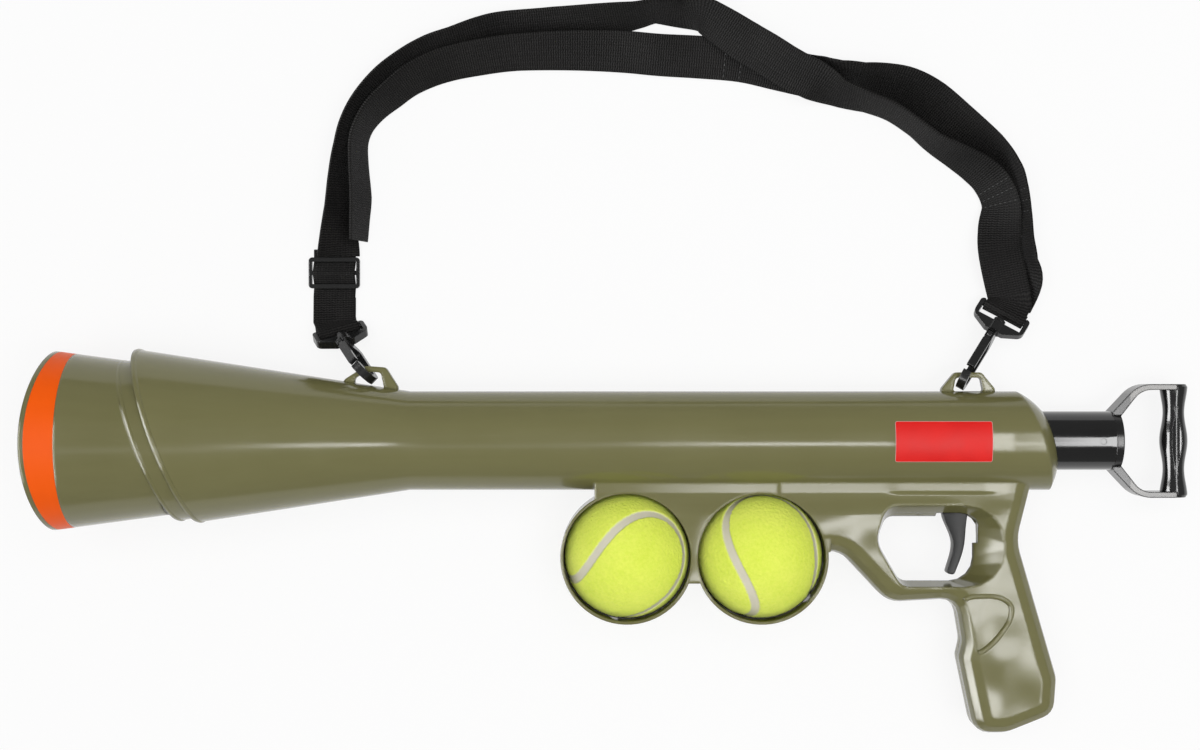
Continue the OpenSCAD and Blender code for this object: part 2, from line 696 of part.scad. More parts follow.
module main_spring() {
    rings = helix(spring_x0 + 0.1, spring_x1 - 0.1, coil_r, wire_r, spring_turns);
    echo(main_spring_least_gap_mm = helix_gap(rings, wire_r));
    color("silver") on_axis() tube_of(rings);
}

// D-handle.
module arm() {
    top = handle_h / 2;
    back = handle_len - bar_r;
    slab([[0, rod_r - arm_t - 1, 0.4], [3, rod_r - arm_t - 1, 3], [15, top - arm_t, 11], [back, top - arm_t, 0.8],
        [back, top, 0.8], [13.5, top, 15], [0, rod_r, 0.8]], -arm_depth / 2, arm_depth / 2);
}
module handle_yoke() {
    color("#4a4a48") translate(axis + [yoke_x, 0, 0]) difference() {
        union() {
            along_x(-plug_len, plug_len + 1, rod_r - rod_wall - seat_fit);
            along_x(0, 4, rod_r);
            arm();
            mirror([0, 1, 0]) arm();
        }
        translate([-plug_len / 2, 0, -far]) cylinder(h = 2 * far, r = cross_pin_r + seat_fit);
    }
}
module handle_pin() {
    h = sqrt(rod_r ^ 2 - cross_pin_r ^ 2) - 0.2;
    color("silver") translate(axis + [yoke_x - plug_len / 2, 0, -h]) cylinder(h = 2 * h, r = cross_pin_r);
}
module handle_bar() {
    end = handle_h / 2;
    wave = [for (i = [0 : 40]) let (y = end * (i / 20 - 1))
        [bar_r + bar_wave * (cos(720 * y / end / 2) - 1) + min(0, end - abs(y) - 1), y]];
    color("#1c1c1c") translate(axis + [yoke_x + handle_len - bar_r, 0, 0]) difference() {
        rotate([-90, 0, 0]) rotate_extrude() polygon(concat([[0, -end]], wave, [[0, end]]));
        for (s = [-1, 1]) {
            translate([0, 0, s * (bar_r + bar_groove_r - bar_groove)]) rotate([90, 0, 0])
                cylinder(h = 2 * end - 8 * arm_t, r = bar_groove_r, center = true);
            translate([-2 * bar_r, s > 0 ? end - arm_t - seat_fit : -end - 1, -arm_depth / 2 - seat_fit])
                cube([2 * bar_r + seat_fit, arm_t + 1 + seat_fit, arm_depth + 2 * seat_fit]);
        }
    }
}

// Trigger and sear.
module trigger() {
    color("#181818") at_rear() difference() {
        slab(trigger_outline, -trigger_t / 2, trigger_t / 2);
        across_z(trigger_at, pin_r + run_fit, -far, far);
    }
}
module sear() {
    color("#8c8c8c") at_rear() difference() {
        slab(sear_outline, -trigger_t / 2, trigger_t / 2);
        across_z(sear_at, pin_r + run_fit, -far, far);
    }
}
module trigger_pin() {
    color("silver") at_rear() across_z(trigger_at, pin_r, -pin_half, pin_half);
}
module sear_pin() {
    color("silver") at_rear() across_z(sear_at, pin_r, -pin_half, pin_half);
}
module trigger_spring() {
    rings = helix(-47.1, pocket_back - 0.1, small_coil_r, small_wire_r, trigger_turns);
    echo(trigger_spring_least_gap_mm = helix_gap(rings, small_wire_r));
    color("silver") at_rear() translate([0, -34, 0]) tube_of(rings);
}
module sear_spring() {
    rings = helix(pocket_floor - 1, -35.1, small_coil_r, small_wire_r, sear_turns);
    echo(sear_spring_least_gap_mm = helix_gap(rings, small_wire_r));
    color("silver") at_rear() translate([sear_spring_x, 0, 0]) rotate([0, 0, 90]) tube_of(rings);
}

// Tennis balls.
module felt_at(x) {
    color("#dcf050") at_rear() translate([x, -ball_drop, 0]) difference() {
        sphere(r = ball_r, $fn = 96);
        sphere(r = ball_r - felt_t, $fn = 96);
    }
}
module core_at(x) {
    color("#303030") at_rear() translate([x, -ball_drop, 0]) difference() {
        sphere(r = ball_r - felt_t - 0.02, $fn = 96);
        sphere(r = ball_r - felt_t - core_t, $fn = 96);
    }
}
module front_ball_felt() {
    felt_at(-ball_back - ball_pitch);
}
module front_ball_core() {
    core_at(-ball_back - ball_pitch);
}
module rear_ball_felt() {
    felt_at(-ball_back);
}
module rear_ball_core() {
    core_at(-ball_back);
}

// Screws, entered from the far side.
module shell_screws() {
    color("dimgray") at_rear() for (p = screw_points) {
        across_z(p, screw_r, screw_sink - grip_half - 0.5, screw_sink - grip_half + screw_len);
        across_z(p, screw_head_r, screw_sink - grip_half - screw_head_h, screw_sink - grip_half);
    }
}

// Snap hooks.
module hooked(at, turn) {
    translate(at) rotate(turn) children();
}
module hook_body() {
    out_r = bow_r + bow_t;
    bow = [for (a = [104 : 8 : 264]) out_r * [cos(a), sin(a)]];
    inside = [for (a = [264 : -8 : 104]) bow_r * [cos(a), sin(a)]];
    shoulder = [[0, -out_r], [shoulder_x + 0.5, -out_r], [shoulder_x + 3.2, 1.8 - out_r], [shoulder_x + 5, -4.4],
        [shoulder_x + 5, 4.4], [shoulder_x + 3.2, out_r - 1.8], [shoulder_x + 0.5, out_r], [shoulder_x - 3, out_r],
        [shoulder_x - 3, 1 - bow_r], [shoulder_x - 4, -bow_r], [0, -bow_r]];
    difference() {
        union() {
            translate([0, 0, -hook_t / 2]) linear_extrude(height = hook_t) polygon(concat(bow, shoulder, inside));
            along_x(shoulder_x + 4, eye_x + eye_neck + move_gap - shoulder_x - 3, post_r);
            along_x(eye_x + eye_neck + move_gap, 1.6, post_r + 1);
        }
        across_z(gate_pivot, 2.1 + move_gap, -gate_t / 2 - move_gap, gate_t / 2 + move_gap);
        translate([shoulder_x - 6, gate_pivot[1] - 2.2 - move_gap, -gate_t / 2 - move_gap])
            cube([5.4, 10, gate_t + 2 * move_gap]);
    }
    across_z(gate_pivot, gate_pin_r, 0.2 - hook_t / 2, hook_t / 2 - 0.2);
}
module hook_gate() {
    root = shoulder_x - 4;
    low = gate_pivot[1] - 1;
    difference() {
        union() {
            slab([[1.2, low - 0.6, 0.7], [root, low, 1], [root, low + 2.4, 1], [1.6, low + 2, 0.7]],
                -hook_t / 2, hook_t / 2);
            slab([[root - 1, low, 0.6], [shoulder_x - 0.6, low - 0.6, 0.6], [shoulder_x - 0.6, low + 2, 0.6],
                [root - 1, low + 2.2, 0.6]], -gate_t / 2, gate_t / 2);
            across_z(gate_pivot, 2, -gate_t / 2, gate_t / 2);
        }
        across_z(gate_pivot, gate_pin_r + run_fit, -far, far);
    }
}
module hook_eye(roll) {
    half_w = web_w / 2 + 3;
    rotate([roll, 0, 0]) difference() {
        union() {
            difference() {
                slab([[eye_x, -5, 1.5], [eye_x + eye_neck - 1, -half_w, 4], [strap_bar_x + 1.5, -half_w, 2],
                    [strap_bar_x + 1.5, half_w, 2], [eye_x + eye_neck - 1, half_w, 4], [eye_x, 5, 1.5]],
                    -hook_t / 2, hook_t / 2);
                translate([eye_x + eye_neck, -web_w / 2 - 0.6, -far]) cube([far, web_w + 1.2, 2 * far]);
            }
            along_x(eye_x, eye_neck, post_r + 1.6);
            translate([strap_bar_x, 0, 0]) rotate([90, 0, 0])
                cylinder(h = 2 * half_w - 2, r = eye_bar_r, center = true);
        }
        along_x(eye_x - 1, eye_neck + 2, post_r + run_fit);
    }
}
module front_hook() {
    color("#1a1a1a") hooked(front_hook_at, front_turn) hook_body();
}
module front_gate() {
    color("#2c2c2c") hooked(front_hook_at, front_turn) hook_gate();
}
module front_eye() {
    color("#1a1a1a") hooked(front_hook_at, [0, front_turn[1], front_turn[2]]) hook_eye(front_eye_roll);
}
module rear_hook() {
    color("#1a1a1a") hooked(rear_hook_at, rear_turn) hook_body();
}
module rear_gate() {
    color("#2c2c2c") hooked(rear_hook_at, rear_turn) hook_gate();
}
module rear_eye() {
    color("#1a1a1a") hooked(rear_hook_at, [0, rear_turn[1], rear_turn[2]]) hook_eye(rear_eye_roll);
}

// Strap.
module strap_slider() {
    color("#1a1a1a") translate([slider_at[0], slider_at[1], rest_z(slider_at[0], slider_at[1]) + slider_lift])
    difference() {
        slab([[-slider_w / 2, -slider_l / 2, 2], [slider_w / 2, -slider_l / 2, 2], [slider_w / 2, slider_l / 2, 2],
            [-slider_w / 2, slider_l / 2, 2]], 0, slider_t);
        for (s = [-1, 1]) {
            translate([-web_w / 2 - 0.5, s > 0 ? slider_bar / 2 : -slider_l / 2 + slider_bar, -1])
                cube([web_w + 1, slider_l / 2 - 1.5 * slider_bar, slider_t + 2]);
        }
    }
}

// Stations of webbing round an eye's bar, from above it to below it.
function eye_point(at, turn, roll, p) = at + turned(p, [roll, turn[1], turn[2]]);
function eye_across(turn, roll) = turned([0, -1, 0], [roll, turn[1], turn[2]]);
wrap_r = eye_bar_r + 0.2 + web_t / 2;
function wrap(at, turn, roll, lead, tail) = [for (p = concat([[lead, wrap_r]],
        [for (a = [90 : 30 : 270]) [wrap_r * cos(a), wrap_r * sin(a)]], [[tail, -wrap_r]]))
    [eye_point(at, turn, roll, [strap_bar_x + p[0], 0, p[1]]), eye_across(turn, roll)]];
function eye_station(at, turn, roll, p) = [eye_point(at, turn, roll, p), eye_across(turn, roll)];

module strap_outer() {
    end = eye_station(rear_hook_at, rear_turn, rear_eye_roll, [strap_bar_x + 9, 0, -wrap_r]);
    color("#181818") webbing(concat(smooth(concat(route_stations(outer_route), [end]), 2)));
}
module strap_inner() {
    color("#1d1d1d") webbing(concat(smooth(concat(route_stations(inner_route),
        [eye_station(rear_hook_at, rear_turn, rear_eye_roll, [strap_bar_x + 12, 0, wrap_r + 0.6])]), 2),
        wrap(rear_hook_at, rear_turn, rear_eye_roll, 5, 6)));
}
module strap_tail() {
    weave = [for (p = [[13, web_t / 2 + 0.2], [slider_l / 2, web_t / 2 + 0.2],
            [slider_l / 2 - slider_bar, web_t / 2 + 0.2],
            [slider_bar / 2, slider_lift + slider_t + web_t / 2 + 0.3],
            [-slider_bar / 2, slider_lift + slider_t + web_t / 2 + 0.3],
            [slider_bar - slider_l / 2, web_t / 2 + 0.2], [-slider_l / 2, web_t / 2 + 0.2], [-12.5, 2.7]])
        [route_point([slider_at[0], slider_at[1] + p[0], p[1]]), [1, 0, 0]]];
    under = [for (p = [[-25, web_t / 2 + 0.3], [-19, web_t / 2 + 0.2], [-13.2, web_t / 2 + 0.2]])
        [route_point([slider_at[0], slider_at[1] + p[0], p[1]]), [1, 0, 0]]];
    color("#181818") webbing(concat(weave, wrap(front_hook_at, front_turn, front_eye_roll, 6, 3), under));
}

left_cone();
right_cone();
left_shell();
right_shell();
muzzle_bell();
muzzle_band();
front_buffer();
rear_bush();
spring_washer();
plunger_rod();
plunger_head();
striker_pad();
main_spring();
handle_yoke();
handle_bar();
handle_pin();
trigger();
trigger_pin();
trigger_spring();
sear();
sear_pin();
sear_spring();
front_ball_felt();
front_ball_core();
rear_ball_felt();
rear_ball_core();
shell_screws();
front_hook();
front_gate();
front_eye();
rear_hook();
rear_gate();
rear_eye();
strap_slider();
strap_outer();
strap_inner();
strap_tail();
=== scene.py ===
import bpy
import math
import numpy as np
from mathutils import Euler, Matrix, Vector, noise


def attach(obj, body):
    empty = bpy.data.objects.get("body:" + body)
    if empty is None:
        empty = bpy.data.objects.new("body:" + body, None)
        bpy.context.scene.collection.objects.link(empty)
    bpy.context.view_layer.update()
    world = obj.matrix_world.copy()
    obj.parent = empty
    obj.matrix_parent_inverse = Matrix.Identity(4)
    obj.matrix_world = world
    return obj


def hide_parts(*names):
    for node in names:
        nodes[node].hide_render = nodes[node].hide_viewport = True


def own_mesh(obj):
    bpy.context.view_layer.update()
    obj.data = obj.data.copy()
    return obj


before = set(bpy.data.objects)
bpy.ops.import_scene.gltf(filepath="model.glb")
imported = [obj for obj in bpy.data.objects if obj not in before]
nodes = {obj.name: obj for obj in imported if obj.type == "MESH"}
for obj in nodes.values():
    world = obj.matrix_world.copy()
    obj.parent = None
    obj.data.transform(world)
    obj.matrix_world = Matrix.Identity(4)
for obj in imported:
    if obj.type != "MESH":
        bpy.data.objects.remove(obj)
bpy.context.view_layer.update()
scene = bpy.context.scene
scene.view_settings.view_transform = "Standard"


def deselectAll():
    if bpy.context.mode != "OBJECT":
        bpy.ops.object.mode_set(mode="OBJECT")
    bpy.ops.object.select_all(action="DESELECT")


def pick(piece):
    deselectAll()
    piece.select_set(True)
    bpy.context.view_layer.objects.active = piece


def applyAll(piece):
    pick(piece)
    for name in [m.name for m in piece.modifiers]:
        bpy.ops.object.modifier_apply(modifier=name)


def tidyMesh(piece, angle=40):
    pick(piece)
    bpy.ops.object.mode_set(mode="EDIT")
    bpy.ops.mesh.select_all(action="SELECT")
    bpy.ops.mesh.remove_doubles(threshold=1e-6)
    bpy.ops.mesh.normals_make_consistent(inside=False)
    bpy.ops.object.mode_set(mode="OBJECT")
    bpy.ops.object.shade_smooth_by_angle(angle=math.radians(angle))


def dress(piece, finish):
    piece.data.materials.clear()
    piece.data.materials.append(finishes[finish])


def copyOf(node, name):
    made = bpy.data.objects.new(name, nodes[node].data.copy())
    made.data.name = name
    scene.collection.objects.link(made)
    pick(made)
    bpy.ops.object.mode_set(mode="EDIT")
    bpy.ops.mesh.select_all(action="SELECT")
    bpy.ops.mesh.remove_doubles(threshold=0.00001)
    bpy.ops.object.mode_set(mode="OBJECT")
    return made


def readSpots(piece):
    flat = np.zeros(len(piece.data.vertices) * 3)
    piece.data.vertices.foreach_get("co", flat)
    return flat.reshape(-1, 3)


def roundEdges(piece, width, segments):
    soft = piece.modifiers.new("edge", "BEVEL")
    soft.width = width
    soft.segments = segments
    soft.limit_method = "ANGLE"
    soft.angle_limit = math.radians(60)


def thicken(piece, thick, offset):
    solid = piece.modifiers.new("thick", "SOLIDIFY")
    solid.thickness = thick
    solid.offset = offset


# camera and floor: the thrower lies on its side and is seen from above
cameraSetup = dict(place=(-0.0085, 0.0871, 1.048), lens=56.8, sensor=36)
bpy.ops.object.camera_add(location=cameraSetup["place"], rotation=(0, 0, 0))
camera = bpy.context.object
camera.data.lens = cameraSetup["lens"]
camera.data.sensor_width = cameraSetup["sensor"]
camera.data.clip_end = 20
scene.camera = camera

floorSetup = dict(slopeX=0.04212, slopeY=0.0147, fromX=-0.3015, fromY=0.0525, half=6.0, gap=0.0006, glow=0.86)


def restHeight(x, y):
    rise = floorSetup["slopeX"] * (x - floorSetup["fromX"])
    return rise + floorSetup["slopeY"] * (y - floorSetup["fromY"])


# small helpers for the node trees
def add(tree, kind, **values):
    made = tree.nodes.new(kind)
    for key, value in values.items():
        if key in made.inputs:
            made.inputs[key].default_value = value
        else:
            setattr(made, key, value)
    return made


def freshMaterial(name):
    mat = bpy.data.materials.new(name)
    mat.use_nodes = True
    tree = mat.node_tree
    tree.nodes.clear()
    out = add(tree, "ShaderNodeOutputMaterial")
    shader = add(tree, "ShaderNodeBsdfPrincipled")
    tree.links.new(shader.outputs["BSDF"], out.inputs["Surface"])
    return mat, tree, shader


def ranged(tree, source, low, high, fromLow=0.0, fromHigh=1.0):
    made = add(tree, "ShaderNodeMapRange")
    for key, value in (("From Min", fromLow), ("From Max", fromHigh), ("To Min", low), ("To Max", high)):
        made.inputs[key].default_value = value
    tree.links.new(source, made.inputs["Value"])
    return made.outputs["Result"]


def eased(tree, source, low, high):
    made = add(tree, "ShaderNodeMapRange", interpolation_type="SMOOTHSTEP")
    made.inputs["From Min"].default_value = low
    made.inputs["From Max"].default_value = high
    tree.links.new(source, made.inputs["Value"])
    return made.outputs["Result"]


def combine(tree, kind, a, b):
    made = add(tree, "ShaderNodeMath", operation=kind)
    for socket, value in zip(made.inputs, (a, b)):
        if isinstance(value, (int, float)):
            socket.default_value = value
        else:
            tree.links.new(value, socket)
    return made.outputs[0]


def inverse(tree, value):
    return combine(tree, "SUBTRACT", 1, value)


def tint(tree, factor, a, b):
    made = add(tree, "ShaderNodeMix", data_type="RGBA")
    for socket, value in ((made.inputs[0], factor), (made.inputs[6], a), (made.inputs[7], b)):
        if isinstance(value, (int, float)):
            socket.default_value = value
        elif isinstance(value, tuple):
            socket.default_value = (*value, 1.0)
        else:
            tree.links.new(value, socket)
    return made.outputs[2]


def grainAt(tree, coords, stretch, scale, detail=4.0, roughness=0.5):
    turned = add(tree, "ShaderNodeMapping")
    turned.inputs["Scale"].default_value = stretch
    tree.links.new(coords, turned.inputs["Vector"])
    cloud = add(tree, "ShaderNodeTexNoise", Scale=scale, Detail=detail, Roughness=roughness)
    tree.links.new(turned.outputs["Vector"], cloud.inputs["Vector"])
    return cloud.outputs["Fac"]


def relief(tree, shader, height, strength, distance, under=None):
    bump = add(tree, "ShaderNodeBump", Strength=strength, Distance=distance)
    tree.links.new(height, bump.inputs["Height"])
    if under is not None:
        tree.links.new(under, bump.inputs["Normal"])
    tree.links.new(bump.outputs["Normal"], shader.inputs["Normal"])


# finishes
flare = dict(x=-0.1085, y=0.0525, z=0.048, slope=0.1535, half=0.024, fade=(0.026, 0.030), facing=0.96)
gripForm = dict(belowY=(0.014, 0.026), scale=22, swell=0.0042,
                creaseFrom=(0.138, 0.150), creaseTo=(0.190, 0.206), creaseY=(0.0240, 0.0272), crease=0.0007)
mould = dict(wornGain=1.7, wornLift=0.03, wornRough=1.2, collar=(0.009, 0.009, 0.009), collarEdge=0.0008,
             relief=0.0002, coatRough=0.12, ior=1.5)


# the cone runs into the barrel in one smooth sweep
def sweptNormal(tree, parts, way):
    x, y, z = (parts.outputs[k] for k in "XYZ")
    offY = combine(tree, "SUBTRACT", y, flare["y"])
    offZ = combine(tree, "SUBTRACT", z, flare["z"])
    squares = combine(tree, "ADD", combine(tree, "POWER", offY, 2), combine(tree, "POWER", offZ, 2))
    length = combine(tree, "SQRT", squares, 0)
    onBarrel = eased(tree, x, flare["x"] - flare["half"], flare["x"] + flare["half"])
    swept = add(tree, "ShaderNodeCombineXYZ")
    tree.links.new(combine(tree, "MULTIPLY", inverse(tree, onBarrel), flare["slope"]), swept.inputs["X"])
    tree.links.new(combine(tree, "DIVIDE", offY, length), swept.inputs["Y"])
    tree.links.new(combine(tree, "DIVIDE", offZ, length), swept.inputs["Z"])
    facing = add(tree, "ShaderNodeVectorMath", operation="DOT_PRODUCT")
    tree.links.new(swept.outputs["Vector"], facing.inputs[0])
    tree.links.new(add(tree, "ShaderNodeNewGeometry").outputs["True Normal"], facing.inputs[1])
    outside = combine(tree, "GREATER_THAN", facing.outputs["Value"], flare["facing"])
    away = combine(tree, "ABSOLUTE", combine(tree, "SUBTRACT", x, flare["x"]), 0)
    near = combine(tree, "MULTIPLY", inverse(tree, eased(tree, away, *flare["fade"])), outside)
    blend = add(tree, "ShaderNodeMix", data_type="VECTOR")
    tree.links.new(near, blend.inputs[0])
    tree.links.new(way, blend.inputs[4])
    tree.links.new(swept.outputs["Vector"], blend.inputs[5])
    unit = add(tree, "ShaderNodeVectorMath", operation="NORMALIZE")
    tree.links.new(blend.outputs[1], unit.inputs[0])
    return unit.outputs["Vector"]


# the grip swells and sinks a little, with a crease over the window
def wavedNormal(tree, coords, parts, way):
    x, y = parts.outputs["X"], parts.outputs["Y"]
    below = inverse(tree, eased(tree, y, *gripForm["belowY"]))
    cloud = grainAt(tree, coords, (1, 1, 0.3), gripForm["scale"], 1.0)
    swell = combine(tree, "MULTIPLY", cloud, combine(tree, "MULTIPLY", below, gripForm["swell"]))
    span = combine(tree, "MULTIPLY", eased(tree, x, *gripForm["creaseFrom"]),
                   inverse(tree, eased(tree, x, *gripForm["creaseTo"])))
    step = combine(tree, "MULTIPLY", eased(tree, y, *gripForm["creaseY"]), span)
    form = add(tree, "ShaderNodeBump", Strength=1.0, Distance=1.0)
    height = combine(tree, "ADD", swell, combine(tree, "MULTIPLY", step, gripForm["crease"]))
    tree.links.new(height, form.inputs["Height"])
    tree.links.new(way, form.inputs["Normal"])
    return form.outputs["Normal"]


def mouldedPlastic(name, base, deep, gloss, soften, peel, marks, coat=0.0, metal=0.0, shine=0.5,
                   blackTo=None, waved=False, flared=False):
    mat, tree, shader = freshMaterial(name)
    coords = add(tree, "ShaderNodeTexCoord").outputs["Object"]
    parts = add(tree, "ShaderNodeSeparateXYZ")
    tree.links.new(coords, parts.inputs["Vector"])
    cloud = grainAt(tree, coords, (1, 1, 1), 22, 5)
    flow = grainAt(tree, coords, (3, 40, 40), 4, 3)          # flow of the moulding along the barrel
    speck = grainAt(tree, coords, (1, 1, 1), 1500, 2)
    scratch = grainAt(tree, coords, (25, 700, 700), 1, 3, 0.6)
    share = combine(tree, "ADD", ranged(tree, cloud, 0, 0.6, 0.2, 0.8), ranged(tree, flow, 0, 0.4, 0.2, 0.8))
    worn = ranged(tree, scratch, 0, marks, 0.66, 0.74)
    pale = tuple(min(1, c * mould["wornGain"] + mould["wornLift"]) for c in base)
    colour = tint(tree, worn, tint(tree, share, deep, base), pale)
    shader.inputs["Metallic"].default_value = metal
    if blackTo is not None:                                  # black collar in front, bare arms behind
        bare = eased(tree, parts.outputs["X"], blackTo, blackTo + mould["collarEdge"])
        colour = tint(tree, bare, mould["collar"], colour)
        tree.links.new(combine(tree, "MULTIPLY", bare, metal), shader.inputs["Metallic"])
    tree.links.new(colour, shader.inputs["Base Color"])
    rough = combine(tree, "ADD", ranged(tree, cloud, gloss - 0.04, gloss + 0.05, 0.2, 0.8),
                    combine(tree, "MULTIPLY", worn, mould["wornRough"]))
    tree.links.new(rough, shader.inputs["Roughness"])
    edge = add(tree, "ShaderNodeBevel", samples=6)
    edge.inputs["Radius"].default_value = soften
    way = edge.outputs["Normal"]
    if flared:
        way = sweptNormal(tree, parts, way)
    if waved:
        way = wavedNormal(tree, coords, parts, way)
    height = combine(tree, "ADD", speck, combine(tree, "MULTIPLY", scratch, 0.4))
    relief(tree, shader, height, peel, mould["relief"], way)
    shader.inputs["IOR"].default_value = mould["ior"]
    shader.inputs["Specular IOR Level"].default_value = shine
    shader.inputs["Coat Weight"].default_value = coat
    shader.inputs["Coat Roughness"].default_value = mould["coatRough"]
    return mat


def dullRubber(name, base, deep):
    mat, tree, shader = freshMaterial(name)
    coords = add(tree, "ShaderNodeTexCoord").outputs["Object"]
    cloud = grainAt(tree, coords, (1, 1, 1), 60, 5)
    pores = grainAt(tree, coords, (1, 1, 1), 900, 3)
    tree.links.new(tint(tree, ranged(tree, cloud, 0, 1, 0.3, 0.7), deep, base), shader.inputs["Base Color"])
    tree.links.new(ranged(tree, pores, 0.55, 0.8, 0.3, 0.7), shader.inputs["Roughness"])
    relief(tree, shader, pores, 0.2, 0.0002)
    return mat


def turnedSteel(name, base, rough):
    mat, tree, shader = freshMaterial(name)
    coords = add(tree, "ShaderNodeTexCoord").outputs["Object"]
    cloud = grainAt(tree, coords, (1, 1, 1), 80, 4)
    lines = grainAt(tree, coords, (60, 60, 1500), 1, 2)
    shade = tuple(c * 0.75 for c in base)
    tree.links.new(tint(tree, ranged(tree, cloud, 0, 1, 0.3, 0.7), shade, base), shader.inputs["Base Color"])
    tree.links.new(ranged(tree, lines, rough - 0.08, rough + 0.12, 0.3, 0.7), shader.inputs["Roughness"])
    relief(tree, shader, lines, 0.08, 0.0001)
    shader.inputs["Metallic"].default_value = 1.0
    return mat


def tennisFelt(name, felt, shade, seam):
    mat, tree, shader = freshMaterial(name)
    coords = add(tree, "ShaderNodeTexCoord").outputs["Object"]
    fibres = grainAt(tree, coords, (1, 1, 1), 620, 6, 0.7)
    tufts = grainAt(tree, coords, (1, 1, 1), 190, 4, 0.6)
    patches = grainAt(tree, coords, (1, 1, 1), 45, 3)
    line = add(tree, "ShaderNodeAttribute", attribute_name="seam").outputs["Fac"]
    mixed = combine(tree, "ADD", ranged(tree, fibres, 0, 0.55, 0.3, 0.65),
                    ranged(tree, patches, 0, 0.45, 0.3, 0.7))
    wool = tint(tree, mixed, shade, felt)
    smooth = tint(tree, ranged(tree, patches, 0, 1, 0.3, 0.7), tuple(c * 0.86 for c in seam), seam)
    tree.links.new(tint(tree, line, wool, smooth), shader.inputs["Base Color"])
    tree.links.new(ranged(tree, line, 0.95, 0.7), shader.inputs["Roughness"])
    height = combine(tree, "ADD", fibres, combine(tree, "MULTIPLY", tufts, 0.8))
    relief(tree, shader, combine(tree, "MULTIPLY", height, ranged(tree, line, 1, 0.25)), 0.55, 0.0006)
    shader.inputs["Specular IOR Level"].default_value = 0.12
    shader.inputs["Sheen Weight"].default_value = 0.35
    shader.inputs["Sheen Roughness"].default_value = 0.6
    shader.inputs["Sheen Tint"].default_value = (0.92, 1.0, 0.45, 1.0)
    return mat


webbingWeave = dict(rib=1.3, column=1.5, sway=0.22)              # pitches in millimetres


def nylonWebbing(name, base, pale):
    mat, tree, shader = freshMaterial(name)
    weave = add(tree, "ShaderNodeUVMap", uv_map="weave").outputs["UV"]
    parts = add(tree, "ShaderNodeSeparateXYZ")
    tree.links.new(weave, parts.inputs["Vector"])
    along, across = parts.outputs["X"], parts.outputs["Y"]       # both in millimetres
    sway = combine(tree, "MULTIPLY", combine(tree, "PINGPONG", across, webbingWeave["column"]), webbingWeave["sway"])
    picks = combine(tree, "MULTIPLY", combine(tree, "ADD", along, sway), 2 * math.pi / webbingWeave["rib"])
    ends = combine(tree, "MULTIPLY", across, math.pi / webbingWeave["column"])
    rib = combine(tree, "ADD", combine(tree, "MULTIPLY", combine(tree, "SINE", picks, 0), 0.5), 0.5)
    column = combine(tree, "ABSOLUTE", combine(tree, "SINE", ends, 0), 0)
    height = combine(tree, "ADD", combine(tree, "MULTIPLY", rib, 0.75), combine(tree, "MULTIPLY", column, 0.3))
    coords = add(tree, "ShaderNodeTexCoord").outputs["Object"]
    fuzz = grainAt(tree, coords, (1, 1, 1), 800, 4, 0.6)
    patchyRibLight = grainAt(tree, coords, (1, 1, 1), 35, 4)
    # painted light and shade: the rib tops are paler and the grooves darker with the relief, varied in patches; the
    # fuzz adds random tone
    share = combine(tree, "MULTIPLY", ranged(tree, height, 0.0, 0.75, 0.2, 1.1),
                    ranged(tree, patchyRibLight, 0.5, 1.2, 0.3, 0.7))
    share = combine(tree, "ADD", share, ranged(tree, fuzz, 0, 0.3, 0.45, 0.75))
    tree.links.new(tint(tree, share, base, pale), shader.inputs["Base Color"])
    tree.links.new(ranged(tree, fuzz, 0.55, 0.75, 0.3, 0.7), shader.inputs["Roughness"])
    relief(tree, shader, combine(tree, "ADD", height, combine(tree, "MULTIPLY", fuzz, 0.3)), 0.7, 0.0004)
    shader.inputs["Specular IOR Level"].default_value = 0.1
    shader.inputs["Sheen Weight"].default_value = 0.02
    shader.inputs["Sheen Roughness"].default_value = 0.5
    return mat


def stickerVinyl(name, base, deep, paintedEdgeHighlight):
    mat, tree, shader = freshMaterial(name)
    coords = add(tree, "ShaderNodeTexCoord").outputs["Object"]
    cloud = grainAt(tree, coords, (1, 1, 1), 70, 4)
    creases = grainAt(tree, coords, (200, 60, 60), 1, 4, 0.6)
    fine = grainAt(tree, coords, (1, 1, 1), 2200, 2)
    red = tint(tree, ranged(tree, cloud, 0, 1, 0.3, 0.7), deep, base)
    border = add(tree, "ShaderNodeAttribute", attribute_name="border").outputs["Fac"]
    # the paler rim along the label's edges is a painted highlight
    tree.links.new(tint(tree, eased(tree, border, 0.45, 0.75), red, paintedEdgeHighlight), shader.inputs["Base Color"])
    tree.links.new(ranged(tree, cloud, 0.42, 0.52, 0.3, 0.7), shader.inputs["Roughness"])
    relief(tree, shader, combine(tree, "ADD", combine(tree, "MULTIPLY", fine, 0.3), creases), 0.12, 0.0002)
    shader.inputs["Specular IOR Level"].default_value = 0.22
    return mat


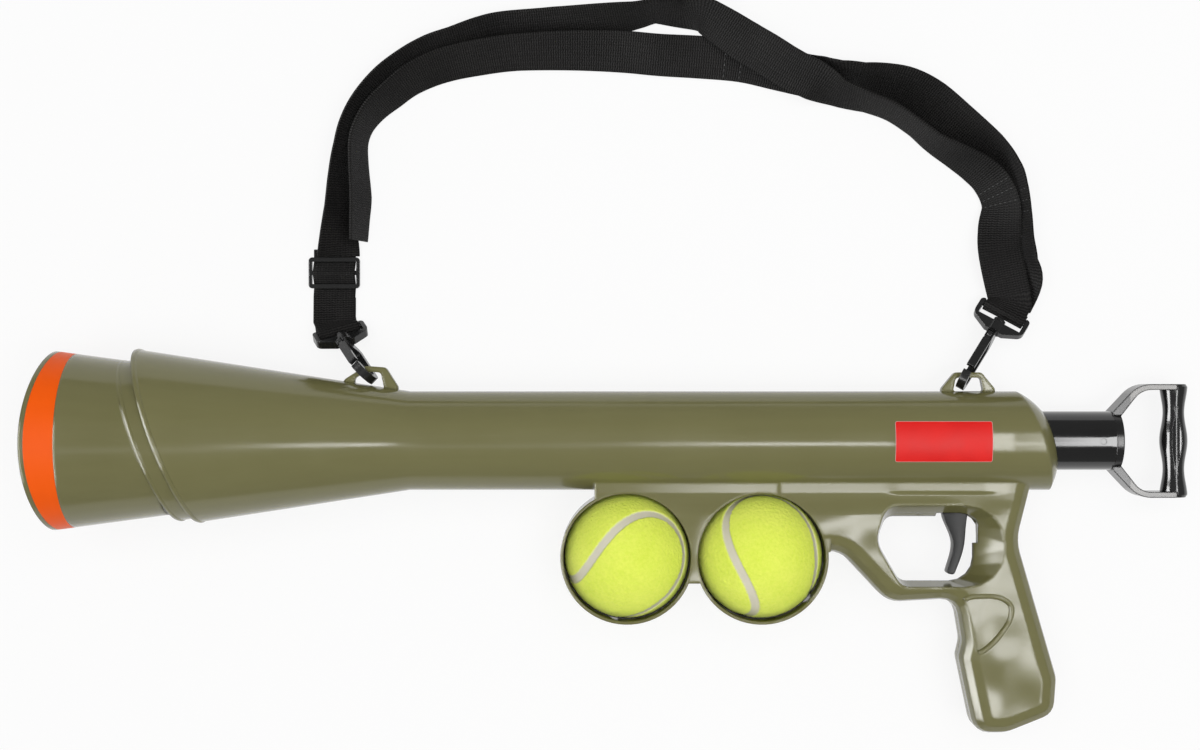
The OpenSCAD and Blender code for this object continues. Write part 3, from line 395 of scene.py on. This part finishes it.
finishes = dict(
    olive=mouldedPlastic("olivePlastic", (0.186, 0.177, 0.074), (0.160, 0.152, 0.060),
                         gloss=0.14, soften=0.0026, peel=0.02, marks=0.04, flared=True),
    oliveGrip=mouldedPlastic("oliveGrip", (0.186, 0.177, 0.074), (0.160, 0.152, 0.060),
                             gloss=0.15, soften=0.0022, peel=0.02, marks=0.04, waved=True, flared=True),
    oliveBell=mouldedPlastic("oliveBell", (0.180, 0.171, 0.072), (0.152, 0.145, 0.057),
                             gloss=0.14, soften=0.0020, peel=0.02, marks=0.04),
    orange=mouldedPlastic("orangeBand", (0.97, 0.118, 0.002), (0.91, 0.101, 0.002),
                          gloss=0.40, soften=0.0004, peel=0.03, marks=0.05, shine=0.12),
    blackGloss=mouldedPlastic("rodBlack", (0.0045, 0.0045, 0.0045), (0.0030, 0.0030, 0.0030),
                              gloss=0.10, soften=0.0002, peel=0.02, marks=0.06, coat=0.3),
    blackSatin=mouldedPlastic("hookBlack", (0.013, 0.013, 0.013), (0.008, 0.008, 0.008),
                              gloss=0.22, soften=0.0004, peel=0.05, marks=0.12),
    blackBar=mouldedPlastic("barBlack", (0.012, 0.012, 0.012), (0.007, 0.007, 0.007),
                            gloss=0.13, soften=0.0008, peel=0.03, marks=0.08, coat=0.3),
    yoke=mouldedPlastic("yokeGrey", (0.085, 0.083, 0.080), (0.045, 0.045, 0.045),
                        gloss=0.22, soften=0.0010, peel=0.02, marks=0.08, metal=0.85, blackTo=0.2690),
    triggerBlack=mouldedPlastic("triggerBlack", (0.009, 0.009, 0.009), (0.006, 0.006, 0.006),
                                gloss=0.36, soften=0.0008, peel=0.04, marks=0.10, shine=0.28),
    innerPlastic=mouldedPlastic("innerPlastic", (0.032, 0.032, 0.034), (0.020, 0.020, 0.021),
                                gloss=0.35, soften=0.0004, peel=0.05, marks=0.10),
    rubber=dullRubber("bufferRubber", (0.020, 0.020, 0.020), (0.012, 0.012, 0.012)),
    redRubber=dullRubber("padRubber", (0.45, 0.03, 0.025), (0.33, 0.02, 0.018)),
    coreRubber=dullRubber("coreRubber", (0.10, 0.09, 0.08), (0.07, 0.06, 0.05)),
    steel=turnedSteel("brightSteel", (0.62, 0.62, 0.60), 0.28),
    darkSteel=turnedSteel("darkSteel", (0.20, 0.20, 0.21), 0.34),
    felt=tennisFelt("ballFelt", (0.89, 0.98, 0.150), (0.70, 0.86, 0.060), (0.72, 0.68, 0.56)),
    # the webbing's paler colour is painted light on its rib tops, with random fuzz
    webbing=nylonWebbing("strapWebbing", (0.0016, 0.0015, 0.0015), (0.0240, 0.0225, 0.0215)),
    thread=dullRubber("blackThread", (0.016, 0.016, 0.016), (0.008, 0.008, 0.008)),
    # the sticker's third colour is its painted edge highlight
    sticker=stickerVinyl("redSticker", (0.80, 0.011, 0.008), (0.72, 0.009, 0.007), (0.62, 0.40, 0.37)),
)
print("finishes made:", len(finishes))

# every CAD node takes one of these finishes: by its own name, else by the first word found in it
nodeFinish = dict(
    left_cone="olive", right_cone="olive", left_shell="oliveGrip", right_shell="oliveGrip",
    muzzle_bell="oliveBell", muzzle_band="orange", front_buffer="rubber", striker_pad="redRubber",
    plunger_rod="blackGloss", handle_yoke="yoke", handle_bar="blackBar", handle_pin="blackGloss",
    trigger="triggerBlack", main_spring="steel", trigger_spring="steel", sear_spring="steel",
    sear="darkSteel", strap_slider="blackBar",
)
wordFinish = dict(core="coreRubber", hook="blackSatin", gate="blackSatin", eye="blackSatin",
                  pin="steel", screw="steel", washer="steel")
for name, piece in nodes.items():
    byWord = next((finish for word, finish in wordFinish.items() if word in name), "innerPlastic")
    dress(piece, nodeFinish.get(name, byWord))
print("CAD nodes dressed:", len(nodes))

# springs: each is its CAD coil, merged and smooth-shaded, standing in for the node
springSetup = dict(
    mainSpring=dict(node="main_spring", joint="plunger_pull", along=0, fixed=1, travel=0.100),
    searSpring=dict(node="sear_spring", joint="trigger_pull", along=1, fixed=0, travel=0.0007),
    triggerSpring=dict(node="trigger_spring", joint="trigger_pull", along=0, fixed=1, travel=0.0021),
)
for name, coil in springSetup.items():
    spring = copyOf(coil["node"], name)
    bpy.ops.object.shade_smooth_by_angle(angle=math.radians(60))
    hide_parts(coil["node"])
    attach(spring, "body")
    k = coil["along"]
    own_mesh(spring)

# trigger: the CAD lever with rounded edges, its blade hollowed forward into a finger curve
triggerSetup = dict(top=0.0125, tip=-0.0178, curve=0.0034, front=0.1725, back=0.1850, backShare=0.15,
                    levels=18, rounding=0.0011, roundSteps=3, fullness=1.5)
blade = copyOf("trigger", "triggerBlade")
bpy.ops.object.mode_set(mode="EDIT")
bpy.ops.mesh.select_all(action="SELECT")
bpy.ops.mesh.dissolve_limited(angle_limit=math.radians(1))
bpy.ops.object.mode_set(mode="OBJECT")
roundEdges(blade, triggerSetup["rounding"], triggerSetup["roundSteps"])
applyAll(blade)
bladeLong = triggerSetup["top"] - triggerSetup["tip"]
bpy.ops.object.mode_set(mode="EDIT")
for k in range(triggerSetup["levels"]):
    y = triggerSetup["tip"] + bladeLong * (k + 0.5) / triggerSetup["levels"]
    bpy.ops.mesh.select_all(action="SELECT")
    bpy.ops.mesh.bisect(plane_co=(0, y, 0), plane_no=(0, 1, 0))
bpy.ops.mesh.select_all(action="SELECT")
bpy.ops.mesh.quads_convert_to_tris()
bpy.ops.object.mode_set(mode="OBJECT")
spots = readSpots(blade)
down = np.clip((triggerSetup["top"] - spots[:, 1]) / bladeLong, 0, 1)
deep = np.clip((spots[:, 0] - triggerSetup["front"]) / (triggerSetup["back"] - triggerSetup["front"]), 0, 1)
bend = triggerSetup["curve"] * np.sin(np.pi * down) ** triggerSetup["fullness"]
spots[:, 0] += bend * (1 - deep * (1 - triggerSetup["backShare"]))
blade.data.vertices.foreach_set("co", spots.ravel())
tidyMesh(blade, 35)
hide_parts("trigger")
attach(blade, "trigger_lever")
print("trigger curved,", len(blade.data.polygons), "faces")

# strap: one strand out, one back, and a short tail; routes are x, y, height over the floor, roll
# bar is the radius of a hook eye's bar, and barAt is how far along the hook it lies
strapSetup = dict(
    width=23.0, thick=1.3, ribs=10, fine=5, cup=0.12, cupTurn=0.06, edge=0.0004, slack=0.2,
    outer=[(-139.5, 160, 12, 74), (-139, 172, 11.9, 71), (-138.5, 184, 11.7, 68), (-139.5, 201, 11.9, 71),
           (-139.5, 213.5, 11.9, 72), (-136.5, 222.5, 11.9, 71), (-130.5, 231, 11.4, 65),
           (-121.5, 239, 10.8, 59), (-110.5, 247.5, 10.3, 54), (-94, 255, 9.4, 47), (-73.5, 259.5, 8.9, 43),
           (-53.5, 262, 8.6, 41), (-25, 263, 7.1, 32), (2, 262.5, 5.5, 23), (24, 260.5, 5.2, 22),
           (45.5, 259.5, 3.2, 15), (68.5, 257.5, 2.2, 12), (89, 252.5, 3.6, 12), (106.5, 248.5, 4.4, 16),
           (115, 248.5, 8.6, 41), (122.5, 249, 11.4, 65), (131.5, 248, 11.4, 65), (143, 246, 10.1, 52),
           (156.5, 242.5, 8.6, 41), (170.5, 234.5, 6.1, 26), (186.5, 220.5, 6.1, 26), (200, 208, 7.9, 37),
           (209.5, 197, 10.8, 59), (213.5, 187.5, 11.7, 68), (216, 174, 12, 72), (217.2, 160, 12, 72),
           (218.8, 149, 11.8, 70), (218.5, 139, 10, 42)],
    inner=[(-151.5, 152, 4, 8), (-151, 161, 7.6, 32), (-149.5, 179, 9.6, 49), (-148.5, 197, 10.8, 59),
           (-146.5, 211.5, 11.4, 65), (-143, 224, 11.4, 65), (-136, 236, 11.1, 62), (-125, 248, 10.8, 59),
           (-111.5, 257.5, 10.5, 56), (-99.5, 263.5, 10.3, 54), (-88, 267, 10.1, 52), (-73.5, 271.5, 9.1, 45),
           (-60.5, 274, 8.6, 41), (-33, 276, 7.9, 37), (-5, 279, 9.9, 51), (10.5, 281, 11.1, 62),
           (21.5, 283, 11.7, 68), (35, 282, 10.8, 59), (45.5, 280.5, 15.4, 49), (56.5, 274, 16, 37),
           (70, 265.5, 15, 26), (81, 259, 15, 26), (93, 251.5, 14.6, 26), (107, 244.5, 14, 32),
           (119, 239, 10.8, 59), (134.5, 233.5, 11.9, 72), (148, 228, 12.1, 75), (160.5, 219.5, 12.2, 76),
           (170.5, 211.5, 11.9, 72), (182.5, 204.5, 11.3, 63), (193, 198, 10.3, 54), (201.5, 190.5, 9.1, 45),
           (206.5, 179, 9.6, 40), (205.5, 166, 11, 20), (205.5, 152, 13, 6)],
    slider=(-154, 143), sliderLong=17.0, sliderThick=2.4, sliderBar=2.4, sliderLift=0.6, sliderGap=0.3,
    frontEye=dict(at=(-133.5, 89.9, 48), turn=(30, 50, 130)),
    rearEye=dict(at=(185.5, 87.6, 48), turn=(-15, 21, 55)),
    bar=2.0, barAt=24 + 5 + 0.3 + 15.5 - 2.0,
)
wrapR = strapSetup["bar"] + strapSetup["slack"] + strapSetup["thick"] / 2


def laid(x, y, lift):
    return Vector((x, y, restHeight(x / 1000, y / 1000) * 1000 + lift))


def routeStations(route):
    made = []
    for i, (x, y, lift, roll) in enumerate(route):
        a, b = route[max(i - 1, 0)], route[min(i + 1, len(route) - 1)]
        along = Vector((b[0] - a[0], b[1] - a[1], 0)).normalized()
        side = Vector((-along.y, along.x, 0)) * math.cos(math.radians(roll))
        made.append((laid(x, y, lift), side + Vector((0, 0, math.sin(math.radians(roll))))))
    return made


def eyeTurn(eye):
    roll, pitch, yaw = (math.radians(a) for a in eye["turn"])
    return Matrix.Rotation(yaw, 3, "Z") @ Matrix.Rotation(pitch, 3, "Y") @ Matrix.Rotation(roll, 3, "X")


def eyeStation(eye, x, z):
    turn = eyeTurn(eye)
    return Vector(eye["at"]) + turn @ Vector((strapSetup["barAt"] + x, 0, z)), turn @ Vector((0, -1, 0))


def wrapRound(eye, lead, tail, step=15):
    arc = [(wrapR * math.cos(math.radians(a)), wrapR * math.sin(math.radians(a))) for a in range(90, 271, step)]
    return [eyeStation(eye, x, z) for x, z in [(lead, wrapR)] + arc + [(tail, -wrapR)]]


def smoothed(stations, n):
    made = []
    last = len(stations) - 1
    for i in range(last):
        a, b = stations[max(i - 1, 0)][0], stations[i][0]
        c, d = stations[i + 1][0], stations[min(i + 2, last)][0]
        for k in range(n):
            t = k / n
            point = 0.5 * (2 * b + (c - a) * t + (2 * a - 5 * b + 4 * c - d) * t ** 2
                           + (3 * b - a - 3 * c + d) * t ** 3)
            made.append((point, (stations[i][1] * (1 - t) + stations[i + 1][1] * t).normalized()))
    return made + [stations[last]]


def layWebbing(name, stations, replaced):
    ribs, width = strapSetup["ribs"], strapSetup["width"]
    points, spots, walked = [], [], 0.0
    for i, (centre, side) in enumerate(stations):
        ahead = (stations[min(i + 1, len(stations) - 1)][0] - stations[max(i - 1, 0)][0]).normalized()
        across = (side - ahead * side.dot(ahead)).normalized()
        up = ahead.cross(across)
        if i:
            walked += (centre - stations[i - 1][0]).length
        for k in range(ribs + 1):
            s = k / ribs * 2 - 1
            cup = strapSetup["cup"] * math.sin(walked * strapSetup["cupTurn"]) * s * s  # never quite flat
            points.append((centre + across * s * (width / 2) + up * cup) / 1000)
            spots.append((walked, (s + 1) * width / 2))
    row = ribs + 1
    faces = [(i * row + k, i * row + k + 1, (i + 1) * row + k + 1, (i + 1) * row + k)
             for i in range(len(stations) - 1) for k in range(ribs)]
    mesh = bpy.data.meshes.new(name)
    mesh.from_pydata(points, [], faces)
    weave = mesh.uv_layers.new(name="weave")
    for loop in mesh.loops:
        weave.data[loop.index].uv = spots[loop.vertex_index]
    strap = bpy.data.objects.new(name, mesh)
    scene.collection.objects.link(strap)
    thicken(strap, strapSetup["thick"] / 1000, 0)
    roundEdges(strap, strapSetup["edge"], 2)
    applyAll(strap)
    bpy.ops.object.shade_smooth_by_angle(angle=math.radians(50))
    dress(strap, "webbing")
    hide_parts(replaced)
    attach(strap, "body")
    print(name, "length", round(walked), "mm")


# the tail's way through the slider and back under it: y from the slider's middle, and height
def weaveStations():
    sx, sy = strapSetup["slider"]
    t, long, bar = strapSetup["thick"], strapSetup["sliderLong"], strapSetup["sliderBar"]
    low = t / 2 + strapSetup["slack"]
    high = t + strapSetup["sliderLift"] + strapSetup["sliderThick"] + t / 2 + strapSetup["sliderGap"]
    over = [(13, low), (long / 2, low), (long / 2 - bar, low), (bar / 2, high), (-bar / 2, high),
            (bar - long / 2, low), (-long / 2, low), (-12.5, 2.7)]
    under = [(-25, low + 0.1), (-19, low), (-13.2, low)]
    side = Vector((1, 0, 0))
    return ([(laid(sx, sy + y, z), side) for y, z in over], [(laid(sx, sy + y, z), side) for y, z in under])


fine = strapSetup["fine"]
rearEye, frontEye = strapSetup["rearEye"], strapSetup["frontEye"]
outerPath = smoothed(routeStations(strapSetup["outer"]) + [eyeStation(rearEye, 9, -wrapR)], fine)
innerPath = smoothed(routeStations(strapSetup["inner"]) + [eyeStation(rearEye, 6, wrapR)], fine)
innerPath += wrapRound(rearEye, 6, 6)[1:]
overPart, underPart = weaveStations()
tailPath = overPart + wrapRound(frontEye, 6, 3) + underPart
layWebbing("strapOuter", outerPath, "strap_outer")
layWebbing("strapInner", innerPath, "strap_inner")
layWebbing("strapTail", tailPath, "strap_tail")

# rows of thread where the strap is sewn, one stitch modelled and copied
stitchSetup = dict(long=1.9, thick=0.55, high=0.42, count=7, pitch=3.0, lift=0.02,
                   rows=[("outer", 61.5, 2), ("outer", 214.0, 3), ("inner", 203.0, 3)])


def makeStitch():
    deselectAll()
    bpy.ops.mesh.primitive_uv_sphere_add(segments=8, ring_count=6, radius=0.5)
    stitch = bpy.context.object
    bpy.ops.object.mode_set(mode="EDIT")
    bpy.ops.mesh.select_all(action="SELECT")
    bpy.ops.transform.resize(value=tuple(stitchSetup[k] / 1000 for k in ("long", "thick", "high")))
    bpy.ops.object.mode_set(mode="OBJECT")
    bpy.ops.object.shade_smooth()
    return stitch


def sewRows(paths):
    stitch = makeStitch()
    made = []
    for key, x, rows in stitchSetup["rows"]:
        path = paths[key]
        start = min(range(3, len(path) - 8), key=lambda i: abs(path[i][0].x - x))
        for row in range(rows):
            i = start + row * 2
            centre, side = path[i]
            ahead = (path[i + 1][0] - path[i - 1][0]).normalized()
            across = (side - ahead * side.dot(ahead)).normalized()
            up = ahead.cross(across)
            up = up if up.z > 0 else -up
            turn = Matrix((across, up.cross(across), up)).transposed().to_4x4()
            for k in range(stitchSetup["count"]):
                s = (k - (stitchSetup["count"] - 1) / 2) * stitchSetup["pitch"]
                spot = (centre + across * s + up * (strapSetup["thick"] / 2 + stitchSetup["lift"])) / 1000
                copy = stitch.copy()
                copy.data = stitch.data.copy()
                scene.collection.objects.link(copy)
                copy.data.transform(Matrix.Translation(spot) @ turn)
                made.append(copy)
    bpy.data.objects.remove(stitch)
    deselectAll()
    for copy in made:
        copy.select_set(True)
    bpy.context.view_layer.objects.active = made[0]
    bpy.ops.object.join()
    thread = bpy.context.object
    thread.name = thread.data.name = "strapThread"
    dress(thread, "thread")
    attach(thread, "body")


sewRows(dict(outer=outerPath, inner=innerPath))
print("strap sewn")

# rounded beads on the two slanted edges of the muzzle collar
beadSetup = dict(
    axisY=0.0525, axisZ=0.048, slant=20, thick=0.0019, segments=192, around=20,
    coneBead=dict(at=-0.2355, radius=0.0455, spread=0.1535, back=0.0013, sink=0.0016, finish="olive"),
    bellBead=dict(at=-0.2455, radius=0.0422, spread=0.0, back=0.0013, sink=0.0016, finish="oliveBell"),
)


def makeBead(name):
    bead = beadSetup[name]
    lean = math.tan(math.radians(beadSetup["slant"]))
    deselectAll()
    bpy.ops.mesh.primitive_torus_add(major_radius=bead["radius"] - bead["sink"], minor_radius=beadSetup["thick"],
                                     major_segments=beadSetup["segments"], minor_segments=beadSetup["around"],
                                     rotation=(0, math.radians(90), 0))
    ring = bpy.context.object
    ring.name = ring.data.name = name
    bpy.ops.object.transform_apply(location=True, rotation=True, scale=True)
    spots = readSpots(ring)
    turn = spots[:, 1] / np.hypot(spots[:, 1], spots[:, 2])
    spots[:, 1:] /= (1 - bead["spread"] * lean * turn)[:, None]        # the edge is wider where it leans forward
    spots[:, 0] += bead["at"] + bead["back"] - spots[:, 1] * lean
    spots[:, 1] += beadSetup["axisY"]
    spots[:, 2] += beadSetup["axisZ"]
    ring.data.vertices.foreach_set("co", spots.ravel())
    tidyMesh(ring)
    pick(ring)
    bpy.ops.object.shade_smooth()
    dress(ring, bead["finish"])
    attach(ring, "body")


for name in ("coneBead", "bellBead"):
    makeBead(name)
print("collar beads made")

# rounded ridge along the edge of the thumb rest, one on each side of the grip
ridgeSetup = dict(thick=0.0015, near=0.0620, far=0.0340, route=[
    (181.4, -30.4), (182.6, -28.2), (189.5, -28.0), (196.3, -27.8), (200.6, -28.9), (204.4, -31.0), (206.5, -34.5),
    (205.4, -39.8), (203.6, -43.6), (198.1, -50.8), (194.5, -54.1), (190.8, -57.2), (188.6, -57.6)])


def makeRidge(name, height):
    line = bpy.data.curves.new(name, "CURVE")
    line.dimensions = "3D"
    line.bevel_depth = ridgeSetup["thick"]
    line.bevel_resolution = 5
    line.use_fill_caps = True
    run = line.splines.new("NURBS")
    run.points.add(len(ridgeSetup["route"]) - 1)
    for point, (x, y) in zip(run.points, ridgeSetup["route"]):
        point.co = (x / 1000, y / 1000, height, 1)
    run.order_u = 4
    run.use_endpoint_u = True
    run.resolution_u = 8
    ridge = bpy.data.objects.new(name, line)
    scene.collection.objects.link(ridge)
    pick(ridge)
    bpy.ops.object.convert(target="MESH")
    ridge = bpy.context.object
    ridge.name = ridge.data.name = name
    tidyMesh(ridge, 60)
    dress(ridge, "olive")
    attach(ridge, "body")


makeRidge("thumbRidgeNear", ridgeSetup["near"])
makeRidge("thumbRidgeFar", ridgeSetup["far"])
print("thumb ridges made")

# spare balls: felt with a pale glued seam, turned as they lie in their rings
ballSetup = dict(radius=0.033, seamHalf=0.0023, seamSoft=0.0003, groove=0.0007, nap=0.00045, fuzz=0.00040,
                 ragged=0.00025, raggedScale=60, tuftScale=34, tuftShare=0.6, fibreScale=90,
                 front=dict(at=(0.0056, -0.0081, 0.048), turn=(-95, 118, 136)),
                 rear=dict(at=(0.0758, -0.0081, 0.048), turn=(51, 59, -12)))


def seamLine(count=900):
    t = np.linspace(0, 2 * np.pi, count, endpoint=False)
    a, b = 0.75, 0.25
    line = np.stack([a * np.cos(t) + b * np.cos(3 * t), a * np.sin(t) - b * np.sin(3 * t),
                     2 * math.sqrt(a * b) * np.sin(2 * t)], 1)
    return line / np.linalg.norm(line, axis=1)[:, None]


def noiseAt(ways, scale):
    return np.array([noise.noise(Vector(w) * scale) for w in ways])


def makeBall(name, place, body, replaced):
    r, soft = ballSetup["radius"], ballSetup["seamSoft"]
    deselectAll()
    bpy.ops.mesh.primitive_ico_sphere_add(subdivisions=7, radius=r, location=(0, 0, 0))
    ball = bpy.context.object
    ball.name = ball.data.name = name
    ways = readSpots(ball)
    ways = ways / np.linalg.norm(ways, axis=1)[:, None]
    turn = np.array(Euler([math.radians(a) for a in place["turn"]], "XYZ").to_matrix())
    line = seamLine() @ turn.T
    near = np.concatenate([(part @ line.T).max(1) for part in np.array_split(ways, 40)])
    away = np.arccos(np.clip(near, -1, 1)) * r
    rag = noiseAt(ways, ballSetup["raggedScale"]) * ballSetup["ragged"]
    mask = np.clip((ballSetup["seamHalf"] + soft - away + rag) / (2 * soft), 0, 1)
    mask = mask * mask * (3 - 2 * mask)
    nap = noiseAt(ways, ballSetup["tuftScale"]) * ballSetup["tuftShare"] + noiseAt(ways, ballSetup["fibreScale"])
    shape = r - ballSetup["nap"] + (1 - mask) * nap * ballSetup["fuzz"] - mask * ballSetup["groove"]
    shape = np.minimum(shape, r)
    spots = ways * shape[:, None] + np.array(place["at"])
    ball.data.vertices.foreach_set("co", spots.ravel())
    seam = ball.data.attributes.new("seam", "FLOAT", "POINT")
    seam.data.foreach_set("value", mask.astype(np.float32))
    ball.data.update()
    pick(ball)
    bpy.ops.object.shade_smooth()
    dress(ball, "felt")
    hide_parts(replaced)
    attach(ball, body)


makeBall("frontBall", ballSetup["front"], "front_ball", "front_ball_felt")
makeBall("rearBall", ballSetup["rear"], "rear_ball", "rear_ball_felt")
print("balls made")

# plain red sticker on the barrel's side, with a painted highlight along its edges
stickerSetup = dict(x0=0.1436, x1=0.1938, y0=0.0423, y1=0.0632, axisY=0.0525, axisZ=0.048, cells=(96, 44),
                    barrel=0.026, corner=0.0011, thick=0.00014, lift=0.00006, wave=0.00003, waveScale=90)


def makeSticker():
    s = stickerSetup
    deselectAll()
    bpy.ops.mesh.primitive_grid_add(x_subdivisions=s["cells"][0], y_subdivisions=s["cells"][1], size=2)
    label = bpy.context.object
    label.name = label.data.name = "redSticker"
    turnLow, turnHigh = (math.asin((y - s["axisY"]) / s["barrel"]) for y in (s["y0"], s["y1"]))
    halfX, halfY = (s["x1"] - s["x0"]) / 2, (turnHigh - turnLow) * s["barrel"] / 2
    border = label.data.attributes.new("border", "FLOAT", "POINT")
    for v in label.data.vertices:
        x, y = v.co.x * halfX, v.co.y * halfY
        # the outermost row of points carries the painted edge highlight
        border.data[v.index].value = 1.0 if max(abs(v.co.x), abs(v.co.y)) > 0.999 else 0.0
        overX, overY = abs(x) - (halfX - s["corner"]), abs(y) - (halfY - s["corner"])
        if overX > 0 and overY > 0:                                  # round the corner
            keep = min(1, max(overX, overY) / math.hypot(overX, overY))
            x = math.copysign(halfX - s["corner"] + overX * keep, x)
            y = math.copysign(halfY - s["corner"] + overY * keep, y)
        angle = (turnLow + turnHigh) / 2 + y / s["barrel"]
        ripple = noise.noise(Vector((x * s["waveScale"], y * s["waveScale"], 2)))
        lift = s["barrel"] + s["lift"] + s["wave"] * ripple
        v.co = ((s["x0"] + s["x1"]) / 2 + x, s["axisY"] + lift * math.sin(angle), s["axisZ"] + lift * math.cos(angle))
    label.data.update()
    thicken(label, s["thick"], 1)
    applyAll(label)
    tidyMesh(label)
    dress(label, "sticker")
    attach(label, "body")


makeSticker()
print("sticker made")

# floor and light
deselectAll()
bpy.ops.mesh.primitive_plane_add(size=2 * floorSetup["half"])
floor = bpy.context.object
floor.name = floor.data.name = "floor"
for v in floor.data.vertices:
    v.co.z = restHeight(v.co.x, v.co.y) - floorSetup["gap"]
floorMat = bpy.data.materials.new("paleFloor")
floorMat.use_nodes = True
floorTree = floorMat.node_tree
floorTree.nodes.clear()
floorOut = add(floorTree, "ShaderNodeOutputMaterial")
paint = add(floorTree, "ShaderNodeBsdfDiffuse", Color=(0.9, 0.9, 0.9, 1))
glow = add(floorTree, "ShaderNodeEmission", Color=(1, 1, 1, 1), Strength=1.0)
path = add(floorTree, "ShaderNodeLightPath")
mirrored = combine(floorTree, "MAXIMUM", path.outputs["Is Camera Ray"], path.outputs["Is Glossy Ray"])
seen = combine(floorTree, "MAXIMUM", mirrored, path.outputs["Is Transmission Ray"])
blendFloor = add(floorTree, "ShaderNodeMixShader")
floorTree.links.new(combine(floorTree, "MULTIPLY", seen, floorSetup["glow"]), blendFloor.inputs["Fac"])
floorTree.links.new(paint.outputs[0], blendFloor.inputs[1])
floorTree.links.new(glow.outputs[0], blendFloor.inputs[2])
floorTree.links.new(blendFloor.outputs[0], floorOut.inputs["Surface"])
floor.data.materials.append(floorMat)

world = bpy.data.worlds.new("studio")
scene.world = world
world.use_nodes = True
worldTree = world.node_tree
worldTree.nodes.clear()
worldOut = add(worldTree, "ShaderNodeOutputWorld")
sky = add(worldTree, "ShaderNodeBackground", Strength=1.0)
rays = add(worldTree, "ShaderNodeLightPath")
shown = tint(worldTree, rays.outputs["Is Camera Ray"], (0.30, 0.30, 0.30), (1, 1, 1))     # white only to the camera
worldTree.links.new(shown, sky.inputs["Color"])
worldTree.links.new(sky.outputs[0], worldOut.inputs["Surface"])

# lit=False lights show in reflections only, and mirrored=False lights don't show in them
lightSetup = [
    dict(name="frontStrip", place=(-0.28, -0.34, 2.0), aim=(-0.28, -0.34, 0), size=(0.74, 0.28), power=0.35),
    dict(name="rearStrip", place=(0.38, -0.175, 2.0), aim=(0.38, -0.175, 0), size=(0.56, 0.20), power=4.2),
    dict(name="rearBox", place=(0.86, -0.05, 2.0), aim=(0.86, -0.05, 0), size=(0.34, 1.4), power=17, lit=False),
    dict(name="leftBox", place=(-1.50, -0.40, 0.85), aim=(-0.2, -0.40, 0.05), size=(1.9, 1.1), power=95, lit=False),
    dict(name="overheadFill", place=(0.0, 0.1, 2.3), aim=(0, 0.1, 0), size=(2.6, 2.0), power=38, mirrored=False),
]
for box in lightSetup:
    lamp = bpy.data.lights.new(box["name"], "AREA")
    lamp.shape = "RECTANGLE"
    lamp.size, lamp.size_y = box["size"]
    lamp.energy = box["power"]
    holder = bpy.data.objects.new(box["name"], lamp)
    holder.location = box["place"]
    holder.visible_glossy = box.get("mirrored", True)
    holder.visible_diffuse = box.get("lit", True)
    holder.rotation_euler = (Vector(box["aim"]) - Vector(box["place"])).to_track_quat("-Z", "Y").to_euler()
    scene.collection.objects.link(holder)
print("stage set")
